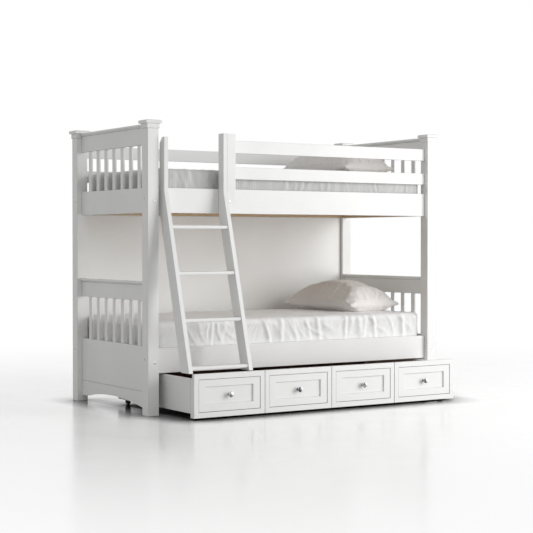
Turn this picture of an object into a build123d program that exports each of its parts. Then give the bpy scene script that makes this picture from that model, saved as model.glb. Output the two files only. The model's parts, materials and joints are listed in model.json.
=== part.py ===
from build123d import *
import os
from math import cos, pi, radians, sin, tan

# Bunk bed with a ladder and a rolling drawer, in millimetres.
# +X runs along the bed towards the pillows, +Y towards the back panel and +Z up.
# The origin is on the floor, midway between the outermost points of the whole object.

# Posts and their caps
bed_length = 2135.0
bed_width = 1012.0
post_side = 72.0
post_edge = 3.0
cap_slab_height = 18.0
cap_slab_overhang = 14.5
cap_slab_edge = 4.0
cap_collar_height = 29.0
cap_collar_overhang = 5.0
cap_bead_height = 7.0
cap_bead_step = 3.5
cap_bead_edge = 2.3
cap_cove = 6.0

# Side rails
side_rail_height = 146.0
side_rail_thickness = 25.0
side_rail_setback = 29.5
lower_rail_bottom = 241.0
bunk_headroom = 782.0
board_edge = 2.0

# Guard rails of the upper bunk, counted upwards from its side rails
guard_slot = 60.0
guard_low_height = 73.0
guard_gap = 82.0
guard_top_height = 76.0
guard_thickness = 22.0
post_rise = 95.0
guard_post_width = 60.0
guard_post_rise = 35.0
guard_rail_inset = 2.0
guard_bolt_inset = 15.0

# End panels
end_rail_thickness = 22.0
end_rail_setback = 32.5
end_top_rail_height = 99.0
end_moulding_height = 20.0
end_moulding_proud = 12.0
end_moulding_cove = 10.0
lower_end_slot = 265.0
lower_top_rail_height = 92.0
lower_panel_rise = 7.0
arch_foot = 36.0
arch_rail_height = 94.0
arch_rise = 34.0
arch_shoulder = 60.0
end_slat_width = 36.0
end_slat_thickness = 12.0
end_slat_pitch = 108.5
end_slat_seat = 12.0
end_slat_edge = 1.5
end_slat_least_gap = 30.0
tenon_thickness = 12.0
tenon_length = 20.0
tenon_shoulder = 14.0
joint_clearance = 0.2

# Rail bolts and barrel nuts
bolt_radius = 3.0
bolt_head_radius = 7.0
bolt_head_height = 4.5
bolt_head_sink = 4.0
bolt_offset = 10.0
bolt_tail = 8.0
nut_radius = 5.0
nut_length = 16.0
nut_from_end = 35.0
bore_clearance = 0.3
bolt_thread_gap = 0.05
ladder_bolt_reach = 35.0
ladder_bolt_drop = 30.0
fastener_sides = 8

# Back panel, slats and ledgers
back_panel_thickness = 10.0
groove_depth = 8.0
ledger_height = 40.0
ledger_thickness = 20.0
lower_ledger_lift = 40.0
upper_ledger_lift = 3.0
bed_slat_width = 75.0
bed_slat_thickness = 20.0
bed_slat_gap = 68.0
bed_slat_end_gap = 3.0

# Mattresses and pillows
mattress_thickness = 204.0
mattress_corner = 60.0
mattress_edge = 34.0
mattress_crown = 8.0
mattress_crown_run = 200.0
mattress_waist = 3.0
edge_steps = 2
mattress_end_gap = 3.0
mattress_side_gap = 6.0
pillow_length = 690.0
pillow_width = 450.0
pillow_height = 186.0
pillow_seam = 42.0
pillow_rim = 6.0
pillow_waist = 22.0
pillow_base_inset = 48.0
pillow_crown_width = 96.0
pillow_steps = 6
pillow_side_steps = 4
pillow_turn = 6.0
pillow_from_end = 320.0
pillow_towards_back = 14.0
upper_pillow_shift = 45.0

# Ladder
ladder_left_gap = 21.0
ladder_clear_width = 372.0
stile_thickness = 25.0
stile_depth = 57.5
ladder_lean = 15.4
stile_heel_lift = 8.0
stile_knee = 118.0
stile_knee_radius = 110.0
stile_top_cut = 34.0
foot_clearance = 4.0
rung_count = 4
rung_thickness = 20.0
rung_depth = 76.0
rung_edge = 3.0
rung_inset = 3.0
rung_housing = 8.0
low_rung_lift = 26.0
top_rung_drop = 82.0

# Rolling drawer
drawer_pull = 318.0
drawer_depth = 930.0
drawer_end_gap = 48.0
front_count = 4
front_floor_gap = 12.0
front_lap = 19.0
front_seam = 2.0
frame_thickness = 22.0
frame_margin = 31.0
frame_edge = 1.5
false_front_gap = 2.5
false_front_thickness = 20.0
false_front_stile = 45.0
false_front_rail = 40.0
false_front_recess = 9.0
recess_taper = 18.0
front_board_thickness = 18.0
drawer_side_thickness = 18.0
drawer_side_lift = 37.0
drawer_top_gap = 7.0
drawer_floor_thickness = 12.0
drawer_floor_seat = 6.0
divider_thickness = 12.0
divider_drop = 12.0
knob_radius = 16.0
knob_stand = 30.0
knob_dome = 4.0
knob_rim = 4.0
knob_dome_inset = 7.0
knob_taper = 5.0
knob_neck_radius = 6.0
knob_base_radius = 10.0
knob_base_height = 4.0
knob_sides = 16

# Casters
wheel_radius = 25.0
wheel_width = 20.0
wheel_edge = 4.0
wheel_sides = 20
axle_radius = 4.0
axle_clearance = 0.1
bracket_sheet = 2.5
bracket_gap = 1.5
bracket_width = 34.0
bracket_headroom = 5.0
bracket_foot_radius = 9.0
bracket_foot_cut = 5.0
axle_head_radius = 6.0
axle_head_height = 2.0
caster_end_inset = 50.0
caster_row_gap = 8.0

# Heights worked out from the driving sizes
lower_rail_top = lower_rail_bottom + side_rail_height
upper_rail_bottom = lower_rail_top + bunk_headroom
upper_rail_top = upper_rail_bottom + side_rail_height
guard_low_bottom = upper_rail_top + guard_slot
guard_low_top = guard_low_bottom + guard_low_height
guard_top_bottom = guard_low_top + guard_gap
guard_top_top = guard_top_bottom + guard_top_height
bed_height = guard_top_top + post_rise
slab_bottom = bed_height - cap_slab_height
collar_bottom = slab_bottom - cap_collar_height
upper_end_top = slab_bottom - end_moulding_height - joint_clearance
upper_end_rail_bottom = upper_end_top - end_top_rail_height
arch_rail_top = arch_foot + arch_rail_height
lower_panel_top = lower_rail_top + lower_panel_rise
lower_end_rail_bottom = lower_panel_top + lower_end_slot
lower_end_top = lower_end_rail_bottom + lower_top_rail_height
side_bolt_heights = [
    lower_rail_bottom + side_rail_height / 2 + bolt_offset,
    upper_rail_bottom + side_rail_height / 2 + bolt_offset,
]
end_bolt_heights = [height - 2 * bolt_offset for height in side_bolt_heights]
lower_ledger_bottom = lower_rail_bottom + lower_ledger_lift
upper_ledger_bottom = upper_rail_bottom + upper_ledger_lift
front_top = lower_rail_bottom + front_lap
drawer_side_top = lower_rail_bottom - drawer_top_gap
drawer_floor_bottom = 2 * wheel_radius + bracket_headroom + bracket_sheet

# Places along the bed and across it
post_plane_x = bed_length / 2
post_inner_x = post_plane_x - post_side
end_outer_x = post_plane_x - end_rail_setback
end_inner_x = end_outer_x - end_rail_thickness
end_middle_x = end_outer_x - end_rail_thickness / 2
knob_reach = knob_stand - false_front_recess - (frame_thickness - false_front_thickness)
front_y = (drawer_pull + knob_reach - bed_width - cap_slab_overhang) / 2
back_y = front_y + bed_width
rail_front_y = front_y + side_rail_setback
rail_inner_y = rail_front_y + side_rail_thickness
rail_middle_y = rail_front_y + side_rail_thickness / 2
middle_y = (front_y + back_y) / 2
drawer_front_y = front_y - drawer_pull
rail_length = bed_length - 2 * post_side
end_rail_length = bed_width - 2 * post_side


def save(piece, name):
    piece.part.label = name
    export_step(piece.part, f"parts/{name}.step")


def across_x(x, y, z):
    """Plane square to the bed's length, with local axes +Y and +Z."""
    return Plane(origin=(x, y, z), x_dir=(0, 1, 0), z_dir=(1, 0, 0))


def across_y(x, y, z):
    """Plane square to the bed's width, with local axes +X and +Z; extrude by a minus amount for +Y."""
    return Plane(origin=(x, y, z), x_dir=(1, 0, 0), z_dir=(0, -1, 0))


def eased_board(width, height, edge):
    """Section of a planed board, with a small flat along each corner."""
    x, y = width / 2, height / 2
    Polygon(
        (x, y - edge), (x - edge, y), (edge - x, y), (-x, y - edge),
        (-x, edge - y), (edge - x, -y), (x - edge, -y), (x, edge - y),
    )


def turned(place, profile, sides):
    """Piece of flat sides round an axis, through pairs of station and radius along it."""
    for (start, start_radius), (end, end_radius) in zip(profile, profile[1:]):
        if end > start:
            with BuildSketch(place.offset(start)) as near:
                RegularPolygon(start_radius, sides)
            with BuildSketch(place.offset(end)) as far:
                RegularPolygon(end_radius, sides)
            loft([near.sketch, far.sketch], ruled=True)


def drill(place, radius, depth):
    """Hole with the same flats as the fasteners, cut both ways from a place."""
    with BuildSketch(place) as section:
        RegularPolygon(radius, fastener_sides)
    extrude(section.sketch, amount=depth, both=True, mode=Mode.SUBTRACT)


def mirrored(y, side):
    """The front station y, or its mirror image at the back for side +1."""
    return y if side < 0 else 2 * middle_y - y


# Bolts: each axis starts on the outer post face and points out of the bed
def side_bolt(side_x, side_y, height):
    start = (side_x * post_plane_x, mirrored(rail_middle_y, side_y), height)
    return Plane(origin=start, x_dir=(0, 0, 1), z_dir=(side_x, 0, 0))


def end_bolt(side_x, side_y, height):
    start = (side_x * end_middle_x, mirrored(front_y, side_y), height)
    return Plane(origin=start, x_dir=(0, 0, 1), z_dir=(0, side_y, 0))


def all_bolts():
    corners = [(side_x, side_y) for side_x in (-1, 1) for side_y in (-1, 1)]
    side = [side_bolt(*corner, height) for corner in corners for height in side_bolt_heights]
    end = [end_bolt(*corner, height) for corner in corners for height in end_bolt_heights]
    return side, end


rail_hole_depth = nut_from_end + nut_radius + bolt_tail
side_nut_hole = side_rail_thickness / 2 + nut_length / 2 + bore_clearance
end_nut_hole = end_rail_thickness / 2 + nut_length / 2 + bore_clearance


def drill_rail_end(bolt, outward, nut_lie, nut_hole):
    """Bolt hole in a rail's end, and the hole of its barrel nut from the rail's inner face."""
    drill(bolt.offset(-post_side), bolt_radius + bore_clearance, rail_hole_depth)
    inner_face = bolt.offset(-post_side - nut_from_end).origin - outward
    drill(Plane(origin=inner_face, z_dir=nut_lie), nut_radius + bore_clearance, nut_hole)


# Ladder and guard post: places along their cranked outline
lean = tan(radians(ladder_lean))
stile_front_y = rail_front_y - stile_depth
heel_height = upper_rail_bottom + stile_heel_lift
knee_height = heel_height + stile_knee
foot_height = front_top + foot_clearance
stile_left_x = -post_inner_x + ladder_left_gap
stile_right_x = stile_left_x + stile_thickness + ladder_clear_width
guard_post_x = stile_right_x + stile_thickness
low_rung = foot_height + low_rung_lift
rung_pitch = (upper_rail_bottom - top_rung_drop - low_rung) / (rung_count - 1)
rung_heights = [low_rung + place * rung_pitch for place in range(rung_count)]


def slant_front(height):
    """Station of the ladder's slanting front edge at a height below the knee."""
    return stile_front_y - lean * (knee_height - height)


def slant_back(height):
    return rail_front_y - lean * (heel_height - height)


def rung_middle_y(height):
    return slant_front(height + rung_thickness / 2) + rung_inset + rung_depth / 2


def ladder_bolt(x):
    start = (x + stile_thickness / 2, rail_inner_y, upper_rail_top - ladder_bolt_drop)
    return Plane(origin=start, x_dir=(1, 0, 0), z_dir=(0, 1, 0))


guard_bolt = Plane(
    origin=(guard_post_x + guard_bolt_inset, stile_front_y, upper_rail_bottom + side_rail_height / 2),
    x_dir=(1, 0, 0),
    z_dir=(0, -1, 0),
)


# Posts: mortises for the end rails, bolt holes with sunk heads, and the back panel's groove
back_panel_middle = (lower_rail_top + upper_rail_bottom) / 2
back_panel_height = bunk_headroom + 2 * groove_depth
post_names = {(-1, -1): "front_left", (1, -1): "front_right", (-1, 1): "back_left", (1, 1): "back_right"}
end_rail_spans = [
    (upper_end_rail_bottom, upper_end_top),
    (upper_rail_bottom, upper_rail_top),
    (lower_end_rail_bottom, lower_end_top),
    (arch_rail_top, lower_panel_top),
    (arch_foot, arch_rail_top),
]


def post_centre(side_x, side_y):
    return side_x * (post_plane_x - post_side / 2), mirrored(front_y + post_side / 2, side_y)


def make_post(side_x, side_y):
    inner_y = mirrored(front_y + post_side, side_y)
    sunk_bolts = [side_bolt(side_x, side_y, height) for height in side_bolt_heights]
    sunk_bolts += [end_bolt(side_x, side_y, height) for height in end_bolt_heights]
    with BuildPart() as post:
        with BuildSketch(Plane.XY):
            with Locations(post_centre(side_x, side_y)):
                eased_board(post_side, post_side, post_edge)
        extrude(amount=slab_bottom)
        for bottom, top in end_rail_spans:
            with BuildSketch(across_y(side_x * end_middle_x, inner_y, (bottom + top) / 2)):
                height = top - bottom - 2 * tenon_shoulder + 2 * joint_clearance
                Rectangle(tenon_thickness + 2 * joint_clearance, height)
            extrude(amount=-side_y * (tenon_length + joint_clearance), mode=Mode.SUBTRACT)
        for bolt in sunk_bolts:
            drill(bolt, bolt_radius + bore_clearance, post_side + bore_clearance)
            drill(bolt, bolt_head_radius + bore_clearance, bolt_head_sink)
        if side_y > 0:
            groove_y = mirrored(rail_middle_y, side_y)
            with BuildSketch(across_x(side_x * post_inner_x, groove_y, back_panel_middle)):
                Rectangle(back_panel_thickness + 2 * joint_clearance, back_panel_height + 2 * joint_clearance)
            extrude(amount=side_x * (groove_depth + joint_clearance), mode=Mode.SUBTRACT)
    return post


# Post caps: a bead, a collar, a cove and a slab, mitred round the four sides and slipped over the post
def make_caps():
    bead_reach = post_side / 2 + cap_collar_overhang
    collar_reach = bead_reach - cap_bead_step / 2
    slab_reach = post_side / 2 + cap_slab_overhang
    with BuildPart() as cap:
        with BuildSketch(Plane.XY.offset(collar_bottom)):
            Rectangle(2 * bead_reach, 2 * bead_reach)
        extrude(amount=cap_bead_height)
        chamfer(cap.edges().filter_by(Plane.XY), cap_bead_edge)
        with BuildSketch(Plane.XY.offset(collar_bottom)):
            Rectangle(2 * collar_reach, 2 * collar_reach)
        extrude(amount=cap_collar_height)
        with BuildSketch(Plane.XY.offset(slab_bottom)):
            Rectangle(2 * slab_reach, 2 * slab_reach)
        extrude(amount=cap_slab_height)
        chamfer(cap.edges().filter_by(Plane.XY).group_by(Axis.Z)[-1], cap_slab_edge)
        with BuildSketch(Plane.XZ) as cove:
            with BuildLine():
                wall = Line((collar_reach, slab_bottom), (collar_reach, slab_bottom - cap_cove))
                hollow = CenterArc((collar_reach + cap_cove, slab_bottom - cap_cove), cap_cove, 90, 90)
                Line(hollow @ 0, wall @ 0)
            make_face()
        with BuildLine(Plane.XY.offset(slab_bottom)) as way_round:
            Polyline(
                (collar_reach, 0),
                (collar_reach, collar_reach),
                (-collar_reach, collar_reach),
                (-collar_reach, -collar_reach),
                (collar_reach, -collar_reach),
                (collar_reach, 0),
            )
        sweep(cove.sketch, path=way_round.wire(), transition=Transition.RIGHT)
        with BuildSketch(Plane.XY.offset(collar_bottom)):
            eased_board(post_side, post_side, post_edge)
        extrude(amount=cap_collar_height, mode=Mode.SUBTRACT)
    with BuildPart() as caps:
        with Locations(*[post_centre(*sides) for sides in post_names]):
            add(cap.part)
    return caps


# Side rails and guard rails, all running along the bed
def make_side_rail(side_y, bottom):
    middle = bottom + side_rail_height / 2
    rail_y = mirrored(rail_middle_y, side_y)
    with BuildPart() as rail:
        with BuildSketch(across_x(-post_inner_x, rail_y, middle)):
            eased_board(side_rail_thickness, side_rail_height, board_edge)
        extrude(amount=rail_length)
        for side_x in (-1, 1):
            bolt = side_bolt(side_x, side_y, middle + bolt_offset)
            outward = Vector(0, side_y * side_rail_thickness / 2, 0)
            drill_rail_end(bolt, outward, (0, 1, 0), side_nut_hole)
        if side_y > 0:
            grooved_edge = lower_rail_top if bottom == lower_rail_bottom else upper_rail_bottom
            with BuildSketch(across_x(-post_inner_x, rail_y, grooved_edge)):
                Rectangle(back_panel_thickness + 2 * joint_clearance, 2 * (groove_depth + joint_clearance))
            extrude(amount=rail_length, mode=Mode.SUBTRACT)
        elif bottom == upper_rail_bottom:
            for bolt in (ladder_bolt(stile_left_x), ladder_bolt(stile_right_x)):
                drill(bolt, bolt_radius + bore_clearance, side_rail_thickness + bore_clearance)
                drill(bolt, bolt_head_radius + bore_clearance, bolt_head_height + joint_clearance)
            guard_thread = bolt_radius + bolt_thread_gap
            drill(guard_bolt.offset(-stile_depth), guard_thread, side_rail_thickness + bore_clearance)
    return rail


def make_guard_rail(start_x, front, bottom, top):
    with BuildPart() as rail:
        with BuildSketch(across_x(start_x, front + guard_thickness / 2, (bottom + top) / 2)):
            eased_board(guard_thickness, top - bottom, board_edge)
        extrude(amount=post_inner_x - start_x)
    return rail


def make_guard_post():
    with BuildPart() as post:
        with BuildSketch(Plane.XY.offset(upper_rail_bottom)):
            with Locations((guard_post_x + guard_post_width / 2, rail_front_y - stile_depth / 2)):
                eased_board(guard_post_width, stile_depth, board_edge)
        extrude(amount=guard_top_top + guard_post_rise - upper_rail_bottom)
        drill(guard_bolt, bolt_radius + bore_clearance, stile_depth + bore_clearance)
        drill(guard_bolt, bolt_head_radius + bore_clearance, bolt_head_sink)
    return post


# End panels: rails tenoned into the posts, with upright slats seated between them
slat_room = end_rail_length / 2 - end_slat_width / 2 - end_slat_least_gap
slats_each_side = int(slat_room // end_slat_pitch)
slat_places = [middle_y + end_slat_pitch * place for place in range(-slats_each_side, slats_each_side + 1)]


def add_tenons(x, bottom, top):
    for side_y in (-1, 1):
        start_y = mirrored(front_y + post_side, side_y)
        with BuildSketch(across_y(x, start_y, (bottom + top) / 2)) as tenon:
            Rectangle(tenon_thickness, top - bottom - 2 * tenon_shoulder)
        extrude(tenon.sketch, amount=-side_y * tenon_length)


def cut_slat_mortises(x, edge):
    reach = end_slat_seat + joint_clearance
    with BuildSketch(Plane.XY.offset(edge - reach)) as mortises:
        with Locations(*[(x, y) for y in slat_places]):
            Rectangle(end_slat_thickness + 2 * joint_clearance, end_slat_width + 2 * joint_clearance)
    extrude(mortises.sketch, amount=2 * reach, mode=Mode.SUBTRACT)


def notch_for_collars(x):
    """Notches in a top rail's upper corners, where the collars of the post caps come down over it."""
    for side_y in (-1, 1):
        end_y = mirrored(front_y + post_side, side_y)
        with BuildSketch(across_y(x, end_y, upper_end_top)) as notch:
            Rectangle(2 * end_rail_thickness, 2 * (upper_end_top - collar_bottom + joint_clearance))
        extrude(notch.sketch, amount=cap_collar_overhang + joint_clearance, both=True, mode=Mode.SUBTRACT)


def make_end_rail(side_x, bottom, top, slatted_edge, bolt_height=None):
    x = side_x * end_middle_x
    with BuildPart() as rail:
        with BuildSketch(across_y(x, front_y + post_side, (bottom + top) / 2)):
            eased_board(end_rail_thickness, top - bottom, board_edge)
        extrude(amount=-end_rail_length)
        add_tenons(x, bottom, top)
        cut_slat_mortises(x, slatted_edge)
        if top == upper_end_top:
            notch_for_collars(x)
        if bolt_height is not None:
            for side_y in (-1, 1):
                bolt = end_bolt(side_x, side_y, bolt_height)
                outward = Vector(side_x * end_rail_thickness / 2, 0, 0)
                drill_rail_end(bolt, outward, (1, 0, 0), end_nut_hole)
    return rail


def make_arch_rail(side_x):
    x = side_x * end_middle_x
    half = end_rail_length / 2
    shoulder = half - arch_shoulder
    with BuildPart() as rail:
        with BuildSketch(across_x(x, middle_y, 0)):
            with BuildLine():
                Polyline(
                    (-shoulder, arch_foot),
                    (-half, arch_foot),
                    (-half, arch_rail_top),
                    (half, arch_rail_top),
                    (half, arch_foot),
                    (shoulder, arch_foot),
                )
                ThreePointArc((-shoulder, arch_foot), (0, arch_foot + arch_rise), (shoulder, arch_foot))
            make_face()
        extrude(amount=end_rail_thickness / 2, both=True)
        chamfer(rail.edges().filter_by(Axis.Y).group_by(Axis.Z)[-1], board_edge)
        add_tenons(x, arch_foot, arch_rail_top)
    return rail


def make_end_slats(side_x, bottom, top):
    with BuildPart() as slats:
        with BuildSketch(Plane.XY.offset(bottom - end_slat_seat)) as section:
            with Locations(*[(side_x * end_middle_x, y) for y in slat_places]):
                Rectangle(end_slat_thickness, end_slat_width)
            chamfer(section.vertices(), end_slat_edge)
        extrude(amount=top - bottom + 2 * end_slat_seat)
    return slats


def add_moulding(x, base_height, end_gap):
    half = end_rail_thickness / 2
    reach = half + end_moulding_proud
    start_y = front_y + post_side + end_gap
    with BuildSketch(across_y(x, start_y, base_height)) as outline:
        with BuildLine():
            base = Line((-half, 0), (half, 0))
            right_cove = RadiusArc(base @ 1, (reach, end_moulding_cove), end_moulding_cove + end_moulding_proud)
            Line(right_cove @ 1, (reach, end_moulding_height))
            Line((reach, end_moulding_height), (-reach, end_moulding_height))
            left = Line((-reach, end_moulding_height), (-reach, end_moulding_cove))
            RadiusArc(left @ 1, base @ 0, end_moulding_cove + end_moulding_proud)
        make_face()
        chamfer(outline.vertices().group_by(Axis.Y)[-1], board_edge)
    extrude(outline.sketch, amount=2 * end_gap - end_rail_length)


def make_mouldings():
    """Cap mouldings of the end panels, with the upper pair notched under the coves of the post caps."""
    collar_gap = cap_collar_overhang + joint_clearance
    notch = cap_cove + joint_clearance
    with BuildPart() as mouldings:
        for side_x in (-1, 1):
            x = side_x * end_middle_x
            add_moulding(x, lower_end_top, 0)
            add_moulding(x, upper_end_top, collar_gap)
            for side_y in (-1, 1):
                end_y = mirrored(front_y + post_side + collar_gap, side_y)
                with BuildSketch(across_y(x, end_y, upper_end_top + end_moulding_height)) as cove_room:
                    Rectangle(2 * post_side, 2 * notch)
                extrude(cove_room.sketch, amount=notch, both=True, mode=Mode.SUBTRACT)
    return mouldings


# Ledgers, bed slats and the back panel
def make_ledgers(bottom):
    side_y = rail_inner_y + ledger_thickness / 2
    end_x = end_inner_x - ledger_thickness / 2
    end_length = 2 * (middle_y - rail_inner_y - ledger_thickness - joint_clearance)
    with BuildPart() as ledgers:
        with BuildSketch(Plane.XY.offset(bottom)):
            with Locations((0, side_y), (0, mirrored(side_y, 1))):
                Rectangle(rail_length, ledger_thickness)
            with Locations((-end_x, middle_y), (end_x, middle_y)):
                Rectangle(ledger_thickness, end_length)
        extrude(amount=ledger_height)
    return ledgers


def make_bed_slats(bottom):
    pitch = bed_slat_width + bed_slat_gap
    count = int((rail_length - bed_slat_width - 2 * joint_clearance) // pitch) + 1
    with BuildPart() as slats:
        with BuildSketch(Plane.XY.offset(bottom)):
            with Locations((0, middle_y)):
                with GridLocations(pitch, 1, count, 1):
                    Rectangle(bed_slat_width, 2 * (middle_y - rail_inner_y - bed_slat_end_gap))
        extrude(amount=bed_slat_thickness)
    return slats


def make_back_panel():
    start_x = -post_inner_x - groove_depth
    with BuildPart() as panel:
        with BuildSketch(across_x(start_x, mirrored(rail_middle_y, 1), back_panel_middle)):
            Rectangle(back_panel_thickness, back_panel_height)
        extrude(amount=-2 * start_x)
    return panel


# Mattresses and pillows: a plan outline, cut to shape by the outlines seen from the side and the end
def shape_both_ways(level, length, width, outline):
    """Keep of a soft block only what lies inside its side and end outlines."""
    seen_from_side = Plane(origin=level.origin, x_dir=level.x_dir, z_dir=-level.y_dir)
    seen_from_end = Plane(origin=level.origin, x_dir=level.y_dir, z_dir=level.x_dir)
    for view, span, depth in ((seen_from_side, length, width), (seen_from_end, width, length)):
        edge = outline(span / 2)
        with BuildSketch(view) as section:
            Polygon(*edge, *[(-reach, height) for reach, height in reversed(edge)], align=None)
        extrude(section.sketch, amount=depth, both=True, mode=Mode.INTERSECT)


def mattress_outline(half):
    """Reach and height of a mattress's rounded edges, drawn-in side and crown."""
    turns = [pi / 2 * step / edge_steps for step in range(edge_steps + 1)]
    shoulder = mattress_thickness - mattress_crown
    under = [(mattress_edge * (1 - cos(turn)), mattress_edge * (1 - sin(turn))) for turn in turns]
    edge = [(half - inward, rise) for inward, rise in reversed(under)]
    edge.append((half - mattress_waist, mattress_thickness / 2))
    edge += [(half - inward, shoulder - drop) for inward, drop in under]
    return edge + [(half - mattress_edge - mattress_crown_run, mattress_thickness)]


def make_mattress(bottom):
    length = rail_length - 2 * mattress_end_gap
    width = 2 * (middle_y - rail_inner_y - mattress_side_gap)
    level = Plane(origin=(0, middle_y, bottom))
    with BuildPart() as mattress:
        with BuildSketch(level):
            RectangleRounded(length + 2 * mattress_waist, width + 2 * mattress_waist, mattress_corner)
        extrude(amount=mattress_thickness)
        shape_both_ways(level, length, width, mattress_outline)
    return mattress


def pillow_outline(half):
    """Reach and height of a pillow's underside, low seam and dome."""
    crown = pillow_crown_width / pillow_width
    shares = [1 - (1 - crown) * step / pillow_steps for step in range(pillow_steps + 1)]
    rim_top = pillow_seam + pillow_rim
    dome = (pillow_height - rim_top) / (1 - crown**2)
    edge = [(half - pillow_base_inset, 0), (half, pillow_seam)]
    return edge + [(half * share, rim_top + dome * (1 - share**2)) for share in shares]


def make_pillow(bottom, shift):
    level = Plane(origin=(post_inner_x - pillow_from_end - shift, middle_y + pillow_towards_back, bottom))
    level = level.rotated((0, 0, pillow_turn))
    along_side = [2 * step / pillow_side_steps - 1 for step in range(pillow_side_steps)]
    drawn_in = [(place, pillow_waist * (1 - place**2)) for place in along_side]
    x, y = pillow_width / 2 - joint_clearance, pillow_length / 2 - joint_clearance
    plan = [(x - draw, place * y) for place, draw in drawn_in]
    plan += [(-place * x, y - draw) for place, draw in drawn_in]
    with BuildPart() as pillow:
        with BuildSketch(level):
            Polygon(*plan, *[(-along, -across) for along, across in plan], align=None)
        extrude(amount=pillow_height)
        shape_both_ways(level, pillow_width, pillow_length, pillow_outline)
    return pillow


# Ladder: two cranked side boards with treads housed in them
def make_stile(start_x, top, cut_back):
    facing = 1 if start_x < stile_right_x else -1
    inner_x = start_x + stile_thickness * (1 + facing) / 2
    with BuildPart() as stile:
        with BuildSketch(across_x(start_x, 0, 0)) as side:
            with BuildLine():
                Polyline(
                    (slant_front(foot_height), foot_height),
                    (stile_front_y, knee_height),
                    (stile_front_y, top),
                    (rail_front_y, top),
                    (rail_front_y, heel_height),
                    (slant_back(foot_height), foot_height),
                    close=True,
                )
            make_face()
            knee = side.vertices().sort_by_distance((stile_front_y, knee_height))[0]
            heel = side.vertices().sort_by_distance((rail_front_y, heel_height))[0]
            fillet([knee, heel], stile_knee_radius)
            if cut_back:
                chamfer(side.vertices().sort_by_distance((rail_front_y, top))[0], stile_top_cut)
        extrude(amount=stile_thickness)
        for height in rung_heights:
            with BuildSketch(across_x(inner_x, rung_middle_y(height), height)):
                depth = rung_depth + 2 * joint_clearance
                eased_board(depth, rung_thickness + 2 * joint_clearance, rung_edge)
            extrude(amount=-facing * (rung_housing + joint_clearance), mode=Mode.SUBTRACT)
        bolt_start = ladder_bolt(start_x).offset(-side_rail_thickness)
        drill(bolt_start, bolt_radius + bolt_thread_gap, ladder_bolt_reach + bolt_tail)
    return stile


def make_rungs():
    start_x = stile_left_x + stile_thickness - rung_housing
    with BuildPart() as rungs:
        for height in rung_heights:
            with BuildSketch(across_x(start_x, rung_middle_y(height), height)) as section:
                eased_board(rung_depth, rung_thickness, rung_edge)
            extrude(section.sketch, amount=ladder_clear_width + 2 * rung_housing)
    return rungs


# Bolts and barrel nuts
def add_bolt(start, length):
    shank = [(-length, bolt_radius), (0, bolt_radius)]
    turned(start, shank + [(0, bolt_head_radius), (bolt_head_height, bolt_head_radius)], fastener_sides)


def make_bolts():
    side_bolts, end_bolts = all_bolts()
    rail_reach = post_side - bolt_head_sink + nut_from_end + nut_radius
    with BuildPart() as bolts:
        for start in side_bolts + end_bolts:
            add_bolt(start.offset(-bolt_head_sink), rail_reach)
        for x in (stile_left_x, stile_right_x):
            sink = bolt_head_height + joint_clearance
            add_bolt(ladder_bolt(x).offset(-sink), side_rail_thickness - sink + ladder_bolt_reach)
        add_bolt(guard_bolt.offset(-bolt_head_sink), stile_depth - bolt_head_sink + side_rail_thickness)
    return bolts


def make_barrel_nuts():
    side_bolts, end_bolts = all_bolts()
    across = [(start, (0, 1, 0)) for start in side_bolts] + [(start, (1, 0, 0)) for start in end_bolts]
    with BuildPart() as nuts:
        for start, lie in across:
            threaded = start.offset(-post_side - nut_from_end)
            length = [(-nut_length / 2, nut_radius), (nut_length / 2, nut_radius)]
            turned(Plane(origin=threaded.origin, z_dir=lie), length, fastener_sides)
            drill(threaded, bolt_radius + bolt_thread_gap, 2 * nut_radius)
    return nuts


# Rolling drawer: places of its boards, then its fronts, box and knobs
drawer_length = bed_length - 2 * (post_side + drawer_end_gap)
front_pitch = drawer_length / front_count
front_height = front_top - front_floor_gap
front_middle_z = (front_top + front_floor_gap) / 2
frame_back_y = drawer_front_y + frame_thickness
board_back_y = frame_back_y + front_board_thickness
drawer_back_y = drawer_front_y + drawer_depth
box_middle_y = (board_back_y + drawer_back_y) / 2
box_depth = drawer_back_y - board_back_y
box_inner_length = drawer_length - 2 * drawer_side_thickness
drawer_floor_top = drawer_floor_bottom + drawer_floor_thickness
drawer_floor_middle = (drawer_floor_bottom + drawer_floor_top) / 2
groove_height = drawer_floor_thickness + 2 * joint_clearance
panel_length = front_pitch - 2 * (frame_margin + false_front_gap)
panel_height = front_height - 2 * (frame_margin + false_front_gap)
panel_face_y = frame_back_y - false_front_thickness


def make_face_frames():
    with BuildPart() as frames:
        with BuildSketch(across_y(0, frame_back_y, front_middle_z)):
            with GridLocations(front_pitch, 1, front_count, 1):
                Rectangle(front_pitch - front_seam, front_height)
                window = (front_pitch - 2 * frame_margin, front_height - 2 * frame_margin)
                Rectangle(*window, mode=Mode.SUBTRACT)
        extrude(amount=frame_thickness)
        front_faces = frames.faces().filter_by(Axis.Y).group_by(Axis.Y)[0]
        chamfer([edge for face in front_faces for edge in face.outer_wire().edges()], frame_edge)
    return frames


def make_false_fronts():
    with BuildPart() as fronts:
        with BuildSketch(across_y(0, frame_back_y, front_middle_z)):
            with GridLocations(front_pitch, 1, front_count, 1):
                Rectangle(panel_length, panel_height)
        extrude(amount=false_front_thickness)
        with BuildSketch(across_y(0, panel_face_y, front_middle_z)):
            with GridLocations(front_pitch, 1, front_count, 1):
                Rectangle(panel_length - 2 * false_front_stile, panel_height - 2 * false_front_rail)
        extrude(amount=-false_front_recess, taper=recess_taper, mode=Mode.SUBTRACT)
    return fronts


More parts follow.
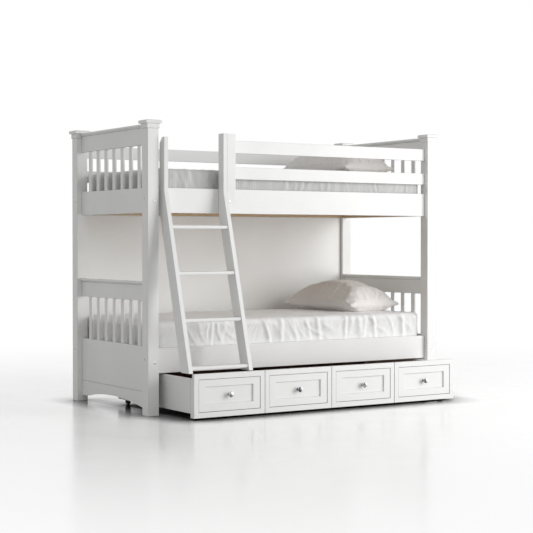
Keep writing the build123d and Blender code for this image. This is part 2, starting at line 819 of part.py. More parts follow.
def make_front_board():
    with BuildPart() as board:
        with BuildSketch(across_y(0, board_back_y, (drawer_side_top + front_floor_gap) / 2)):
            Rectangle(drawer_length - front_seam, drawer_side_top - front_floor_gap)
        extrude(amount=front_board_thickness)
        with BuildSketch(across_y(0, board_back_y, drawer_floor_middle)):
            Rectangle(box_inner_length, groove_height)
        extrude(amount=drawer_floor_seat + joint_clearance, mode=Mode.SUBTRACT)
    return board


def make_drawer_sides():
    with BuildPart() as sides:
        with BuildSketch(across_y(0, board_back_y, (drawer_side_top + drawer_side_lift) / 2)):
            with GridLocations(box_inner_length + drawer_side_thickness, 1, 2, 1):
                height = drawer_side_top - drawer_side_lift
                eased_board(drawer_side_thickness, height, board_edge)
        extrude(amount=-box_depth)
        with BuildSketch(across_y(0, board_back_y, drawer_floor_middle)):
            Rectangle(box_inner_length + 2 * (drawer_floor_seat + joint_clearance), groove_height)
        extrude(amount=-box_depth, mode=Mode.SUBTRACT)
    return sides


def make_drawer_back():
    height = drawer_side_top - drawer_floor_top
    with BuildPart() as back:
        with BuildSketch(across_y(0, drawer_back_y, drawer_side_top - height / 2)):
            Rectangle(box_inner_length, height)
        extrude(amount=drawer_side_thickness)
    return back


def make_drawer_floor():
    with BuildPart() as floor:
        with BuildSketch(Plane.XY.offset(drawer_floor_bottom)):
            with Locations((0, box_middle_y)):
                Rectangle(box_inner_length + 2 * drawer_floor_seat, box_depth)
            with Locations((0, board_back_y)):
                Rectangle(box_inner_length - 2 * joint_clearance, 2 * drawer_floor_seat)
        extrude(amount=drawer_floor_thickness)
    return floor


def make_dividers():
    with BuildPart() as dividers:
        with BuildSketch(Plane.XY.offset(drawer_floor_top)):
            with Locations((0, box_middle_y - drawer_side_thickness / 2)):
                with GridLocations(front_pitch, 1, front_count - 1, 1):
                    Rectangle(divider_thickness, box_depth - drawer_side_thickness)
        extrude(amount=drawer_side_top - divider_drop - drawer_floor_top)
    return dividers


def make_knobs():
    """Turned knobs: a flange on the panel, a neck, and a head with a domed face."""
    rim_back = knob_stand - knob_dome - knob_rim
    profile = [
        (0, knob_base_radius),
        (knob_base_height, knob_base_radius),
        (knob_base_height, knob_neck_radius),
        (rim_back - knob_taper, knob_neck_radius),
        (rim_back, knob_radius),
        (knob_stand - knob_dome, knob_radius),
        (knob_stand, knob_radius - knob_dome_inset),
    ]
    with BuildPart() as knob:
        turned(across_y(0, panel_face_y + false_front_recess, front_middle_z), profile, knob_sides)
    with BuildPart() as knobs:
        with GridLocations(front_pitch, 1, front_count, 1):
            add(knob.part)
    return knobs


# Casters: a bent bracket with a riveted axle, and a wheel on it
outer_caster_x = drawer_length / 2 - caster_end_inset
caster_columns = [-outer_caster_x, -front_pitch / 2, front_pitch / 2, outer_caster_x]
caster_rows = {
    "front": board_back_y + wheel_radius + caster_row_gap,
    "back": drawer_back_y - wheel_radius - caster_row_gap,
}


def make_brackets():
    cheek_gap = wheel_width + 2 * bracket_gap
    bracket_span = cheek_gap + 2 * bracket_sheet
    head, axle = axle_head_radius, axle_radius
    rivet = [(-axle_head_height, head), (0, head), (0, axle), (bracket_span, axle)]
    rivet += [(bracket_span, head), (bracket_span + axle_head_height, head)]
    with BuildPart() as bracket:
        with BuildSketch(Plane.YZ) as cheek:
            foot_height = wheel_radius - bracket_foot_radius
            Polygon(
                (-bracket_width / 2, drawer_floor_bottom),
                (-bracket_foot_radius, foot_height),
                (bracket_foot_radius, foot_height),
                (bracket_width / 2, drawer_floor_bottom),
                align=None,
            )
            chamfer(cheek.vertices().group_by(Axis.Y)[0], bracket_foot_cut)
        extrude(amount=bracket_span / 2, both=True)
        with BuildSketch(Plane.YZ):
            with Locations((0, (drawer_floor_bottom - bracket_sheet) / 2)):
                Rectangle(2 * bracket_width, drawer_floor_bottom - bracket_sheet)
        extrude(amount=cheek_gap / 2, both=True, mode=Mode.SUBTRACT)
        turned(Plane(origin=(-bracket_span / 2, 0, wheel_radius), z_dir=(1, 0, 0)), rivet, fastener_sides)
    with BuildPart() as brackets:
        with Locations(*[(x, y) for y in caster_rows.values() for x in caster_columns]):
            add(bracket.part)
    return brackets


def make_wheel(x, y):
    """Wheel whose bore has flats just clear of the axle, so that it turns on it."""
    half = wheel_width / 2
    hub = Plane(origin=(x, y, wheel_radius), x_dir=(0, 1, 0), z_dir=(1, 0, 0))
    with BuildPart() as wheel:
        turned(hub, [(-half, wheel_radius), (half, wheel_radius)], wheel_sides)
        chamfer(wheel.edges().filter_by(Plane.YZ), wheel_edge)
        with BuildSketch(hub):
            RegularPolygon(axle_radius + axle_clearance, fastener_sides, major_radius=False)
        extrude(amount=wheel_width, both=True, mode=Mode.SUBTRACT)
    return wheel


# Build every piece and write it
os.makedirs("parts", exist_ok=True)
for sides, corner in post_names.items():
    save(make_post(*sides), f"post_{corner}")
save(make_caps(), "post_caps")

for side_y, side in ((-1, "front"), (1, "back")):
    save(make_side_rail(side_y, lower_rail_bottom), f"lower_side_rail_{side}")
    save(make_side_rail(side_y, upper_rail_bottom), f"upper_side_rail_{side}")
for name, bottom, top in (
    ("guard_low_rail", guard_low_bottom, guard_low_top),
    ("guard_top_rail", guard_top_bottom, guard_top_top),
):
    save(make_guard_rail(guard_post_x + guard_rail_inset, rail_front_y, bottom, top), f"{name}_front")
    back_rail_front = mirrored(rail_front_y, 1) - guard_thickness
    save(make_guard_rail(-post_inner_x, back_rail_front, bottom, top), f"{name}_back")
save(make_guard_post(), "guard_end_post")

for side_x, side in ((-1, "left"), (1, "right")):
    top_rail = make_end_rail(side_x, upper_end_rail_bottom, upper_end_top, upper_end_rail_bottom)
    save(top_rail, f"upper_end_top_rail_{side}")
    low_rail = make_end_rail(side_x, upper_rail_bottom, upper_rail_top, upper_rail_top, end_bolt_heights[1])
    save(low_rail, f"upper_end_low_rail_{side}")
    top_rail = make_end_rail(side_x, lower_end_rail_bottom, lower_end_top, lower_end_rail_bottom)
    save(top_rail, f"lower_end_top_rail_{side}")
    panel = make_end_rail(side_x, arch_rail_top, lower_panel_top, lower_panel_top, end_bolt_heights[0])
    save(panel, f"lower_end_panel_{side}")
    save(make_arch_rail(side_x), f"lower_end_arch_rail_{side}")
    save(make_end_slats(side_x, upper_rail_top, upper_end_rail_bottom), f"upper_end_slats_{side}")
    save(make_end_slats(side_x, lower_panel_top, lower_end_rail_bottom), f"lower_end_slats_{side}")
save(make_mouldings(), "end_mouldings")

save(make_back_panel(), "back_panel")
for level, ledger_bottom, pillow_shift in (
    ("lower", lower_ledger_bottom, 0),
    ("upper", upper_ledger_bottom, upper_pillow_shift),
):
    slat_bottom = ledger_bottom + ledger_height
    mattress_bottom = slat_bottom + bed_slat_thickness
    save(make_ledgers(ledger_bottom), f"{level}_ledgers")
    save(make_bed_slats(slat_bottom), f"{level}_bed_slats")
    save(make_mattress(mattress_bottom), f"{level}_mattress")
    save(make_pillow(mattress_bottom + mattress_thickness, pillow_shift), f"{level}_pillow")

save(make_stile(stile_left_x, guard_top_top, True), "ladder_stile_left")
save(make_stile(stile_right_x, guard_top_top + guard_post_rise, False), "ladder_stile_right")
save(make_rungs(), "ladder_rungs")
save(make_bolts(), "rail_bolts")
save(make_barrel_nuts(), "barrel_nuts")

save(make_face_frames(), "drawer_face_frames")
save(make_false_fronts(), "drawer_false_fronts")
save(make_front_board(), "drawer_front_board")
save(make_drawer_sides(), "drawer_sides")
save(make_drawer_back(), "drawer_back")
save(make_drawer_floor(), "drawer_floor")
save(make_dividers(), "drawer_dividers")
save(make_knobs(), "drawer_knobs")
save(make_brackets(), "caster_brackets")
for row, y in caster_rows.items():
    for number, x in enumerate(caster_columns, start=1):
        save(make_wheel(x, y), f"wheel_{row}_{number}")
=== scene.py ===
import json
import math
import random
import bmesh
import bpy
import numpy as np
from mathutils import Matrix, Vector, noise


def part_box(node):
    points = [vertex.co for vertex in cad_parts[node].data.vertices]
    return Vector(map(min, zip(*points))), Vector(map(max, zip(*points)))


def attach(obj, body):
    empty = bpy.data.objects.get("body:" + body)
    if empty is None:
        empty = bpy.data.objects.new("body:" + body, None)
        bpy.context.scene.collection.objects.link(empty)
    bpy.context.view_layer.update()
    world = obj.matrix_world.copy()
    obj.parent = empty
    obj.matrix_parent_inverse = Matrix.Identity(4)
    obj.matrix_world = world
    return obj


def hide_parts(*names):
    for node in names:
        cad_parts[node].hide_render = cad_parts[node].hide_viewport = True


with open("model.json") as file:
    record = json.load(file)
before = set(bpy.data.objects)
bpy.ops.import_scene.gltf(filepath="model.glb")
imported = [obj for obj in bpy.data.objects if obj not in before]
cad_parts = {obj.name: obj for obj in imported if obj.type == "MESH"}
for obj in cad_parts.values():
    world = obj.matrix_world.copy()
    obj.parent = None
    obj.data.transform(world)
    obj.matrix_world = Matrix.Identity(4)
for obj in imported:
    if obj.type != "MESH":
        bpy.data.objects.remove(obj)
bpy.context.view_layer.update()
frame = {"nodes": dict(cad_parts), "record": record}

print("frame loaded with", len(frame["nodes"]), "nodes")

# Camera, fitted to the photograph's corners and edges
cameraSettings = {"place": (-4.8194, -7.377, 1.0047), "tilt": 88.96, "turn": -32.97, "lens": 93.72}
camera = bpy.data.objects.new("camera", bpy.data.cameras.new("camera"))
camera.data.lens = cameraSettings["lens"]
camera.location = cameraSettings["place"]
camera.rotation_euler = (math.radians(cameraSettings["tilt"]), 0, math.radians(cameraSettings["turn"]))
bpy.context.collection.objects.link(camera)
bpy.context.scene.camera = camera
bpy.context.scene.view_settings.view_transform = "Standard"


# small helpers for node trees
def fillInputs(tree, made, values):
    for key, value in values.items():
        if isinstance(value, bpy.types.NodeSocket):
            tree.links.new(value, made.inputs[key])
        else:
            made.inputs[key].default_value = value


def addNode(tree, kind, values=None, **settings):
    made = tree.nodes.new(kind)
    for name, value in settings.items():
        setattr(made, name, value)
    fillInputs(tree, made, values or {})
    return made


def compute(tree, operation, *terms, clamp=False):
    made = addNode(tree, "ShaderNodeMath", dict(enumerate(terms)), operation=operation, use_clamp=clamp)
    return made.outputs[0]


def times(tree, first, second):
    return compute(tree, "MULTIPLY", first, second)


def noiseAt(tree, place, scale, detail, **more):
    return addNode(tree, "ShaderNodeTexNoise", {
        "Vector": place, "Scale": scale, "Detail": detail, **more}).outputs[0]


def objectPlace(tree):
    return addNode(tree, "ShaderNodeTexCoord").outputs["Object"]


def mixColours(tree, share, first, second):
    made = addNode(tree, "ShaderNodeMix", {0: share, 6: first, 7: second}, data_type="RGBA")
    return made.outputs[2]


def remap(tree, value, low, high, newLow, newHigh):
    made = addNode(tree, "ShaderNodeMapRange", {0: value, 1: low, 2: high, 3: newLow, 4: newHigh})
    return made.outputs[0]


def effectGroup(name, inputs, outputs):
    # a shader group whose inputs are (name, kind, start value) and outputs (name, kind)
    tree = bpy.data.node_groups.new(name, "ShaderNodeTree")
    for label, kind, value in inputs:
        socket = tree.interface.new_socket(label, in_out="INPUT", socket_type="NodeSocket" + kind)
        if value is not None:
            socket.default_value = value
    for label, kind in outputs:
        tree.interface.new_socket(label, in_out="OUTPUT", socket_type="NodeSocket" + kind)
    return tree, tree.nodes.new("NodeGroupInput").outputs, tree.nodes.new("NodeGroupOutput").inputs


# effects that several finishes share
def makeGrainGroup():
    tree, given, out = effectGroup("woodGrain", [
        ("Vector", "Vector", None), ("Fineness", "Float", 40.0), ("Ring Width", "Float", 30.0)],
        [("Streaks", "Float"), ("Rings", "Float"), ("Height", "Float")])
    broad = addNode(tree, "ShaderNodeTexNoise", {"Vector": given["Vector"], "Scale": 6.0, "Detail": 3.0})
    bent = addNode(tree, "ShaderNodeVectorMath", {
        0: given["Vector"], 1: broad.outputs["Color"]}, operation="ADD")
    rings = addNode(tree, "ShaderNodeTexWave", {
        "Vector": bent.outputs[0], "Scale": given["Ring Width"], "Distortion": 2.2, "Detail": 2.0,
        "Detail Scale": 1.5}, bands_direction="DIAGONAL", wave_profile="SAW")
    fibres = noiseAt(tree, given["Vector"], given["Fineness"], 6.0, Roughness=0.65)
    streaks = remap(tree, fibres, 0.3, 0.7, 0.0, 1.0)
    height = compute(tree, "MULTIPLY_ADD", rings.outputs["Fac"], 0.35, streaks)
    for label, socket in (("Streaks", streaks), ("Rings", rings.outputs["Fac"]), ("Height", height)):
        tree.links.new(socket, out[label])
    return tree


def makeEdgeGroup():
    tree, given, out = effectGroup("edgeWear", [("Vector", "Vector", None), ("Reach", "Float", 0.002)],
                                   [("Mask", "Float")])
    rounded = addNode(tree, "ShaderNodeBevel", {"Radius": given["Reach"]}, samples=4)
    flat = addNode(tree, "ShaderNodeNewGeometry")
    facing = addNode(tree, "ShaderNodeVectorMath", {0: rounded.outputs[0], 1: flat.outputs["Normal"]},
                     operation="DOT_PRODUCT")
    patches = noiseAt(tree, given["Vector"], 22.0, 5.0)
    edge = remap(tree, facing.outputs["Value"], 0.995, 0.8, 0.0, 1.0)
    worn = compute(tree, "MULTIPLY", edge, remap(tree, patches, 0.42, 0.62, 0.0, 1.0), clamp=True)
    tree.links.new(worn, out["Mask"])
    return tree


def makeDustAndShadeGroup():
    tree, given, out = effectGroup("dust", [
        ("Vector", "Vector", None), ("Amount", "Float", 0.3), ("Painted Shade Reach", "Float", 0.006)],
        [("Mask", "Float"), ("Crevice", "Float")])
    # the second output is painted shade: near 1 where ambient occlusion finds nearby surfaces in corners,
    # joints and gaps; the first output is real dust on upward faces
    openness = addNode(tree, "ShaderNodeAmbientOcclusion", {"Distance": given["Painted Shade Reach"]}, samples=6)
    tree.links.new(remap(tree, openness.outputs["AO"], 0.72, 0.25, 0.0, 1.0), out["Crevice"])
    normal = addNode(tree, "ShaderNodeNewGeometry").outputs["Normal"]
    upward = addNode(tree, "ShaderNodeSeparateXYZ", {0: normal})
    lying = remap(tree, upward.outputs["Z"], 0.4, 1.0, 0.0, 1.0)
    patchy = remap(tree, noiseAt(tree, given["Vector"], 9.0, 8.0), 0.35, 0.75, 0.0, 1.0)
    tree.links.new(times(tree, times(tree, lying, patchy), given["Amount"]), out["Mask"])
    return tree


def makeWeaveGroup():
    tree, given, out = effectGroup("weave", [("Vector", "Vector", None), ("Thread", "Float", 0.0012)],
                                   [("Threads", "Float"), ("Slub", "Float")])
    counted = addNode(tree, "ShaderNodeVectorMath", {
        0: given["Vector"], 3: compute(tree, "DIVIDE", math.pi, given["Thread"])}, operation="SCALE")
    along = addNode(tree, "ShaderNodeSeparateXYZ", {0: counted.outputs[0]})
    warp = compute(tree, "SINE", along.outputs["X"])
    weft = compute(tree, "SINE", along.outputs["Y"])
    crossing = times(tree, warp, weft)
    threads = compute(tree, "MULTIPLY_ADD", crossing, 0.5, 0.5)
    slub = noiseAt(tree, given["Vector"], 260.0, 4.0)
    tree.links.new(threads, out["Threads"])
    tree.links.new(slub, out["Slub"])
    return tree


def makeStripeGroup():
    # pairs of thin woven stripes, a pitch apart
    tree, given, out = effectGroup("wovenStripes", [
        ("Along", "Float", 0.0), ("Pitch", "Float", 0.114), ("Gap", "Float", 0.015),
        ("Width", "Float", 0.003)], [("Mask", "Float")])
    place = compute(tree, "WRAP", given["Along"], given["Pitch"], 0.0)
    half = times(tree, given["Width"], 0.5)
    masks = []
    for share in (0, 1):
        centre = compute(tree, "MULTIPLY_ADD", given["Gap"], share, 0.03)
        away = compute(tree, "ABSOLUTE", compute(tree, "SUBTRACT", place, centre))
        masks.append(compute(tree, "SUBTRACT", 1.0, compute(tree, "DIVIDE", away, half), clamp=True))
    tree.links.new(compute(tree, "MAXIMUM", *masks), out["Mask"])
    return tree


grainGroup, edgeGroup, dustAndShadeGroup, weaveGroup, stripeGroup = (
    makeGrainGroup(), makeEdgeGroup(), makeDustAndShadeGroup(), makeWeaveGroup(), makeStripeGroup())


def placeGroup(tree, group, values):
    made = tree.nodes.new("ShaderNodeGroup")
    made.node_tree = group
    fillInputs(tree, made, values)
    return made.outputs


def startMaterial(name, **constants):
    material = bpy.data.materials.new(name)
    material.use_nodes = True
    tree = material.node_tree
    shader = tree.nodes["Principled BSDF"]
    for label, value in constants.items():
        shader.inputs[label].default_value = value
    return material, tree, shader


def connect(tree, shader, colour, roughness, height, strength, distance):
    bump = addNode(tree, "ShaderNodeBump", {"Height": height, "Strength": strength, "Distance": distance})
    for label, socket in (("Base Color", colour), ("Roughness", roughness), ("Normal", bump.outputs[0])):
        tree.links.new(socket, shader.inputs[label])


def raysShown(tree):
    # 1 for the rays that see the backdrop: from the camera, and through reflection and glass
    rays = addNode(tree, "ShaderNodeLightPath").outputs
    return compute(tree, "MAXIMUM", rays["Is Camera Ray"], compute(
        tree, "MAXIMUM", rays["Is Glossy Ray"], rays["Is Transmission Ray"]))


# painted wood and bare pine
paintSettings = {
    "colour": (0.87, 0.87, 0.86, 1), "underCoat": (0.8, 0.795, 0.78, 1), "worn": (0.7, 0.68, 0.64, 1),
    # the near-black colour and its strength at the end of the next line paint shade into corners, joints and
    # gaps
    "dust": (0.74, 0.73, 0.71, 1), "crevice": (0.1, 0.095, 0.09, 1), "paintedShadeStrength": 0.95,
    "roughness": (0.34, 0.46), "bump": 0.12}
grainTurns = {"x": (0.07, 1, 1), "y": (1, 0.07, 1), "z": (1, 1, 0.07)}


def placeGrain(tree, place, along, fineness, ringWidth):
    stretched = addNode(tree, "ShaderNodeMapping", {"Vector": place, "Scale": grainTurns[along]}).outputs[0]
    return placeGroup(tree, grainGroup, {"Vector": stretched, "Fineness": fineness, "Ring Width": ringWidth})


def makePaint(name, along, settings):
    material, tree, shader = startMaterial(name, **{"Specular IOR Level": 0.45})
    place = objectPlace(tree)
    grain = placeGrain(tree, place, along, 160.0, 14.0)
    wear = placeGroup(tree, edgeGroup, {"Vector": place, "Reach": 0.0025})
    dust = placeGroup(tree, dustAndShadeGroup, {"Vector": place, "Amount": 0.22})
    clouds = noiseAt(tree, place, 3.0, 4.0)
    thin = times(tree, grain["Streaks"], remap(tree, clouds, 0.35, 0.7, 0.1, 0.55))
    painted = mixColours(tree, thin, settings["colour"], settings["underCoat"])
    worn = mixColours(tree, times(tree, wear["Mask"], 0.5), painted, settings["worn"])
    dusty = mixColours(tree, dust["Mask"], worn, settings["dust"])
    # painted shade: the colour darkens toward near-black in corners, joints and gaps, found by ambient
    # occlusion
    dusty = mixColours(tree, times(tree, dust["Crevice"], settings["paintedShadeStrength"]), dusty,
                       settings["crevice"])
    rough = remap(tree, clouds, 0.3, 0.7, *settings["roughness"])
    connect(tree, shader, dusty, rough, grain["Height"], settings["bump"], 0.0004)
    return material


paint = {along: makePaint("whitePaint_" + along, along, paintSettings) for along in grainTurns}
# the lining is brown bare wood, with painted shade making its colour darker, standing in for the shade inside
# the drawer under the bed
liningSettings = dict(paintSettings, colour=(0.17, 0.085, 0.055, 1), underCoat=(0.34, 0.2, 0.13, 1),
                      worn=(0.42, 0.28, 0.19, 1), dust=(0.36, 0.3, 0.26, 1), roughness=(0.5, 0.66), bump=0.2)
lining = makePaint("drawerLining", "x", liningSettings)

pineSettings = {"light": (0.78, 0.6, 0.4, 1), "dark": (0.56, 0.36, 0.2, 1), "pore": (0.4, 0.26, 0.15, 1),
                "dust": (0.7, 0.62, 0.52, 1)}


def makePine(name, along):
    material, tree, shader = startMaterial(name, **{"Specular IOR Level": 0.3})
    place = objectPlace(tree)
    grain = placeGrain(tree, place, along, 210.0, 26.0)
    dust = placeGroup(tree, dustAndShadeGroup, {"Vector": place, "Amount": 0.35})
    rings = mixColours(tree, compute(tree, "POWER", grain["Rings"], 2.0), pineSettings["light"],
                       pineSettings["dark"])
    pores = mixColours(tree, times(tree, grain["Streaks"], 0.3), rings, pineSettings["pore"])
    dusty = mixColours(tree, dust["Mask"], pores, pineSettings["dust"])
    rough = remap(tree, grain["Streaks"], 0.0, 1.0, 0.55, 0.75)
    connect(tree, shader, dusty, rough, grain["Height"], 0.25, 0.0006)
    return material


pineAlongX, pineAlongY = makePine("barePine_x", "x"), makePine("barePine_y", "y")


# cloth
clothSettings = {
    "sheetCotton": {"colour": (0.92, 0.92, 0.915, 1), "stripe": (0.96, 0.96, 0.955, 1),
                    "shade": (0.84, 0.84, 0.835, 1), "pitch": 0.114},
    # the upper sheet is the same white cotton as the lower one, painted darker to stand in for the shade it
    # lies in
    "upperSheetCottonPaintedShade": {"colour": (0.62, 0.62, 0.61, 1), "stripe": (0.9, 0.9, 0.89, 1),
                         "shade": (0.55, 0.55, 0.54, 1), "pitch": 0.114},
    "pillowCotton": {"colour": (0.85, 0.825, 0.8, 1), "stripe": (0.91, 0.89, 0.87, 1),
                     "shade": (0.77, 0.73, 0.695, 1), "pitch": 0.057}}


def makeCotton(name):
    settings = clothSettings[name]
    material, tree, shader = startMaterial(name, **{
        "Specular IOR Level": 0.2, "Sheen Weight": 0.25, "Sheen Roughness": 0.5})
    place = addNode(tree, "ShaderNodeUVMap", uv_map="cloth").outputs[0]
    weave = placeGroup(tree, weaveGroup, {"Vector": place, "Thread": 0.0011})
    across = addNode(tree, "ShaderNodeSeparateXYZ", {0: place}).outputs["X"]
    stripes = placeGroup(tree, stripeGroup, {"Along": across, "Pitch": settings["pitch"]})
    clouds = noiseAt(tree, place, 7.0, 5.0)
    uneven = compute(tree, "MULTIPLY_ADD", weave["Slub"], 0.6, times(tree, clouds, 0.4))
    cloth = mixColours(tree, remap(tree, uneven, 0.35, 0.65, 0.0, 0.7), settings["colour"], settings["shade"])
    threads = mixColours(tree, times(tree, weave["Threads"], 0.12), cloth, settings["shade"])
    striped = mixColours(tree, times(tree, stripes["Mask"], 0.85), threads, settings["stripe"])
    rough = compute(tree, "SUBTRACT", 0.85, times(tree, stripes["Mask"], 0.3))
    height = compute(tree, "ADD", compute(tree, "MULTIPLY_ADD", weave["Threads"], 0.6, weave["Slub"]),
                     stripes["Mask"])
    connect(tree, shader, striped, rough, height, 0.22, 0.0005)
    return material


sheetCotton, upperSheetCottonPaintedShade, pillowCotton = (makeCotton(name) for name in clothSettings)


# metals and nylon
hardwareSettings = {
    # the chrome's first colour is a painted dark reflection, used where the metal faces the eye
    "chrome": {"core": (0.05, 0.05, 0.055, 1), "clean": (0.86, 0.86, 0.88, 1),
               "smudge": (0.7, 0.7, 0.72, 1), "rough": (0.04, 0.16), "metallic": 1.0, "spots": 60.0,
               "bump": 0.02, "specular": 0.5},
    "zincSteel": {"clean": (0.5, 0.5, 0.51, 1), "smudge": (0.34, 0.34, 0.35, 1), "rough": (0.26, 0.45),
                  "metallic": 1.0, "spots": 180.0, "bump": 0.1, "specular": 0.5},
    "casterSteel": {"clean": (0.035, 0.035, 0.037, 1), "smudge": (0.07, 0.068, 0.065, 1),
                    "rough": (0.35, 0.55), "metallic": 0.0, "spots": 420.0, "bump": 0.2, "specular": 0.5},
    "casterNylon": {"clean": (0.02, 0.02, 0.021, 1), "smudge": (0.09, 0.085, 0.08, 1), "rough": (0.4, 0.7),
                    "metallic": 0.0, "spots": 120.0, "bump": 0.15, "specular": 0.4}}


def makeHardware(name):
    settings = hardwareSettings[name]
    material, tree, shader = startMaterial(name, **{
        "Metallic": settings["metallic"], "Specular IOR Level": settings["specular"]})
    place = objectPlace(tree)
    spots = noiseAt(tree, place, settings["spots"], 6.0, Roughness=0.6)
    smears = noiseAt(tree, place, 14.0, 3.0, Distortion=1.2)
    wear = placeGroup(tree, edgeGroup, {"Vector": place, "Reach": 0.0012})
    dust = placeGroup(tree, dustAndShadeGroup, {"Vector": place, "Amount": 0.2})
    smeared = remap(tree, smears, 0.4, 0.6, 0.2, 1.0)
    patchy = times(tree, remap(tree, spots, 0.4, 0.7, 0.0, 1.0), smeared)
    marked = compute(tree, "MAXIMUM", patchy, times(tree, wear["Mask"], 0.6))
    clean = settings["clean"]
    if "core" in settings:
        # painted reflection: the base colour turns near-black where the metal faces the eye, standing in for
        # a dark room reflected in it
        facing = addNode(tree, "ShaderNodeLayerWeight", {"Blend": 0.5}).outputs["Facing"]
        clean = mixColours(tree, remap(tree, facing, 0.22, 0.45, 0.0, 1.0), settings["core"], clean)
    tinted = mixColours(tree, marked, clean, settings["smudge"])
    dusty = mixColours(tree, dust["Mask"], tinted, (0.4, 0.39, 0.37, 1))
    rough = remap(tree, compute(tree, "MAXIMUM", patchy, dust["Mask"]), 0.0, 1.0, *settings["rough"])
    connect(tree, shader, dusty, rough, spots, settings["bump"], 0.0003)
    return material


chrome, zincSteel, casterSteel, casterNylon = (makeHardware(name) for name in hardwareSettings)
print("materials made")


# mesh helpers
def camelName(words):
    first, *others = words.split("_")
    return first + "".join(word.capitalize() for word in others)


def addPiece(name, mesh, material, body, nodes, sharpAbove=40):
    # finish a mesh as a piece of the scene that rides on a body and stands for CAD nodes
    def smooth(shape):
        for face in shape.faces:
            face.smooth = True
            face.material_index = 0
        for edge in shape.edges:
            edge.smooth = edge.calc_face_angle(math.pi) < math.radians(sharpAbove)

    reworked(mesh, smooth)
    mesh.materials.clear()
    mesh.materials.append(material)
    piece = linked(name, mesh)
    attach(piece, body)
    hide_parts(*nodes)
    return piece


def reworked(mesh, *works):
    # run steps such as weld or faceOutward on a mesh
    shape = bmesh.new()
    shape.from_mesh(mesh)
    for work in works:
        work(shape)
    shape.to_mesh(mesh)
    shape.free()
    return mesh


def weld(reach):
    return lambda shape: bmesh.ops.remove_doubles(shape, verts=shape.verts, dist=reach)


def faceOutward(shape):
    bmesh.ops.recalc_face_normals(shape, faces=shape.faces)


def closeHoles(shape):
    bmesh.ops.dissolve_degenerate(shape, edges=shape.edges, dist=1e-7)
    bmesh.ops.holes_fill(shape, edges=[edge for edge in shape.edges if edge.is_boundary], sides=0)


def linked(name, mesh):
    thing = bpy.data.objects.new(name, mesh)
    bpy.context.collection.objects.link(thing)
    return thing


def evaluated(thing):
    # the mesh that a thing's modifiers give
    bpy.context.view_layer.update()
    graph = bpy.context.evaluated_depsgraph_get()
    return bpy.data.meshes.new_from_object(thing.evaluated_get(graph), depsgraph=graph)


def meshFrom(name, points, faces):
    mesh = bpy.data.meshes.new(name)
    mesh.from_pydata([tuple(point) for point in points], [], faces)
    mesh.validate()
    return mesh


def turnedMesh(name, profile, steps, closed=False):
    # turn (radius, height) pairs round the Z axis
    points, faces = [], []
    for step in range(steps):
        angle = 2 * math.pi * step / steps
        points += [(radius * math.cos(angle), radius * math.sin(angle), height) for radius, height in profile]
    count = len(profile)
    last = count if closed else count - 1
    for step in range(steps):
        here, there = step * count, (step + 1) % steps * count
        for place in range(last):
            after = (place + 1) % count
            faces.append((here + place, there + place, there + after, here + after))
    return reworked(meshFrom(name, points, faces), weld(1e-6), closeHoles, faceOutward)


def roundedRun(corner, start, end, radius, steps):
    # points of a small arc that rounds a corner of a profile
    corner, start, end = Vector(corner), Vector(start), Vector(end)
    into, out = (corner - start).normalized(), (end - corner).normalized()
    reach = min(radius, (corner - start).length * 0.49, (end - corner).length * 0.49)
    first, last = corner - into * reach, corner + out * reach
    return [tuple(first.lerp(corner, t).lerp(corner.lerp(last, t), t)) for t in np.linspace(0, 1, steps)]


def roundedProfile(profile, radius, steps=4):
    rounded = [profile[0]]
    for before, here, after in zip(profile, profile[1:], profile[2:]):
        rounded += roundedRun(here, before, after, radius, steps)
    return rounded + [profile[-1]]


def dressedCopy(node):
    # a copy of a CAD node with its flat facets merged
    shape = bmesh.new()
    shape.from_mesh(frame["nodes"][node].data)
    bmesh.ops.remove_doubles(shape, verts=shape.verts, dist=2e-5)
    bmesh.ops.dissolve_limit(shape, angle_limit=math.radians(0.6), verts=shape.verts, edges=shape.edges)
    mesh = bpy.data.meshes.new(camelName(node))
    shape.to_mesh(mesh)
    shape.free()
    return mesh


# geometry node trees
def shapeTree(name, inputs):
    tree = bpy.data.node_groups.new(name, "GeometryNodeTree")
    tree.is_modifier = True
    for label, kind in inputs:
        tree.interface.new_socket(label, in_out="INPUT", socket_type="NodeSocket" + kind)
    tree.interface.new_socket("Geometry", in_out="OUTPUT", socket_type="NodeSocketGeometry")
    return tree, tree.nodes.new("NodeGroupInput").outputs


def endTree(tree, shape, material):
    whole = addNode(tree, "GeometryNodeRealizeInstances", {0: shape})
    coated = addNode(tree, "GeometryNodeSetMaterial", {"Geometry": whole.outputs[0], "Material": material})
    output = tree.nodes.new("NodeGroupOutput")
    tree.links.new(coated.outputs[0], output.inputs[0])


def makeBoardTree():
    tree, given = shapeTree("repeatedBoards", [
        ("Count", "Int"), ("First", "Vector"), ("Step", "Vector"), ("Turn", "Vector"), ("Length", "Float"),
        ("Width", "Float"), ("Thickness", "Float"), ("Edge", "Float"), ("Material", "Material")])
    start, end = (addNode(tree, "ShaderNodeCombineXYZ", {
        "Z": times(tree, given["Length"], share)}).outputs[0] for share in (-0.5, 0.5))
    path = addNode(tree, "GeometryNodeCurvePrimitiveLine", {"Start": start, "End": end}).outputs[0]
    section = addNode(tree, "GeometryNodeCurvePrimitiveQuadrilateral", {
        "Width": given["Width"], "Height": given["Thickness"]}).outputs[0]
    eased = addNode(tree, "GeometryNodeFilletCurve", {
        "Curve": section, "Radius": given["Edge"], "Count": 3}, mode="POLY").outputs[0]
    board = addNode(tree, "GeometryNodeCurveToMesh", {
        "Curve": path, "Profile Curve": eased, "Fill Caps": True})
    places = addNode(tree, "GeometryNodeMeshLine", {
        "Count": given["Count"], "Start Location": given["First"], "Offset": given["Step"]}).outputs[0]
    turned = addNode(tree, "GeometryNodeTransform", {"Geometry": board.outputs[0], "Rotation": given["Turn"]})
    copies = addNode(tree, "GeometryNodeInstanceOnPoints", {"Points": places, "Instance": turned.outputs[0]})
    endTree(tree, copies.outputs[0], given["Material"])
    return tree


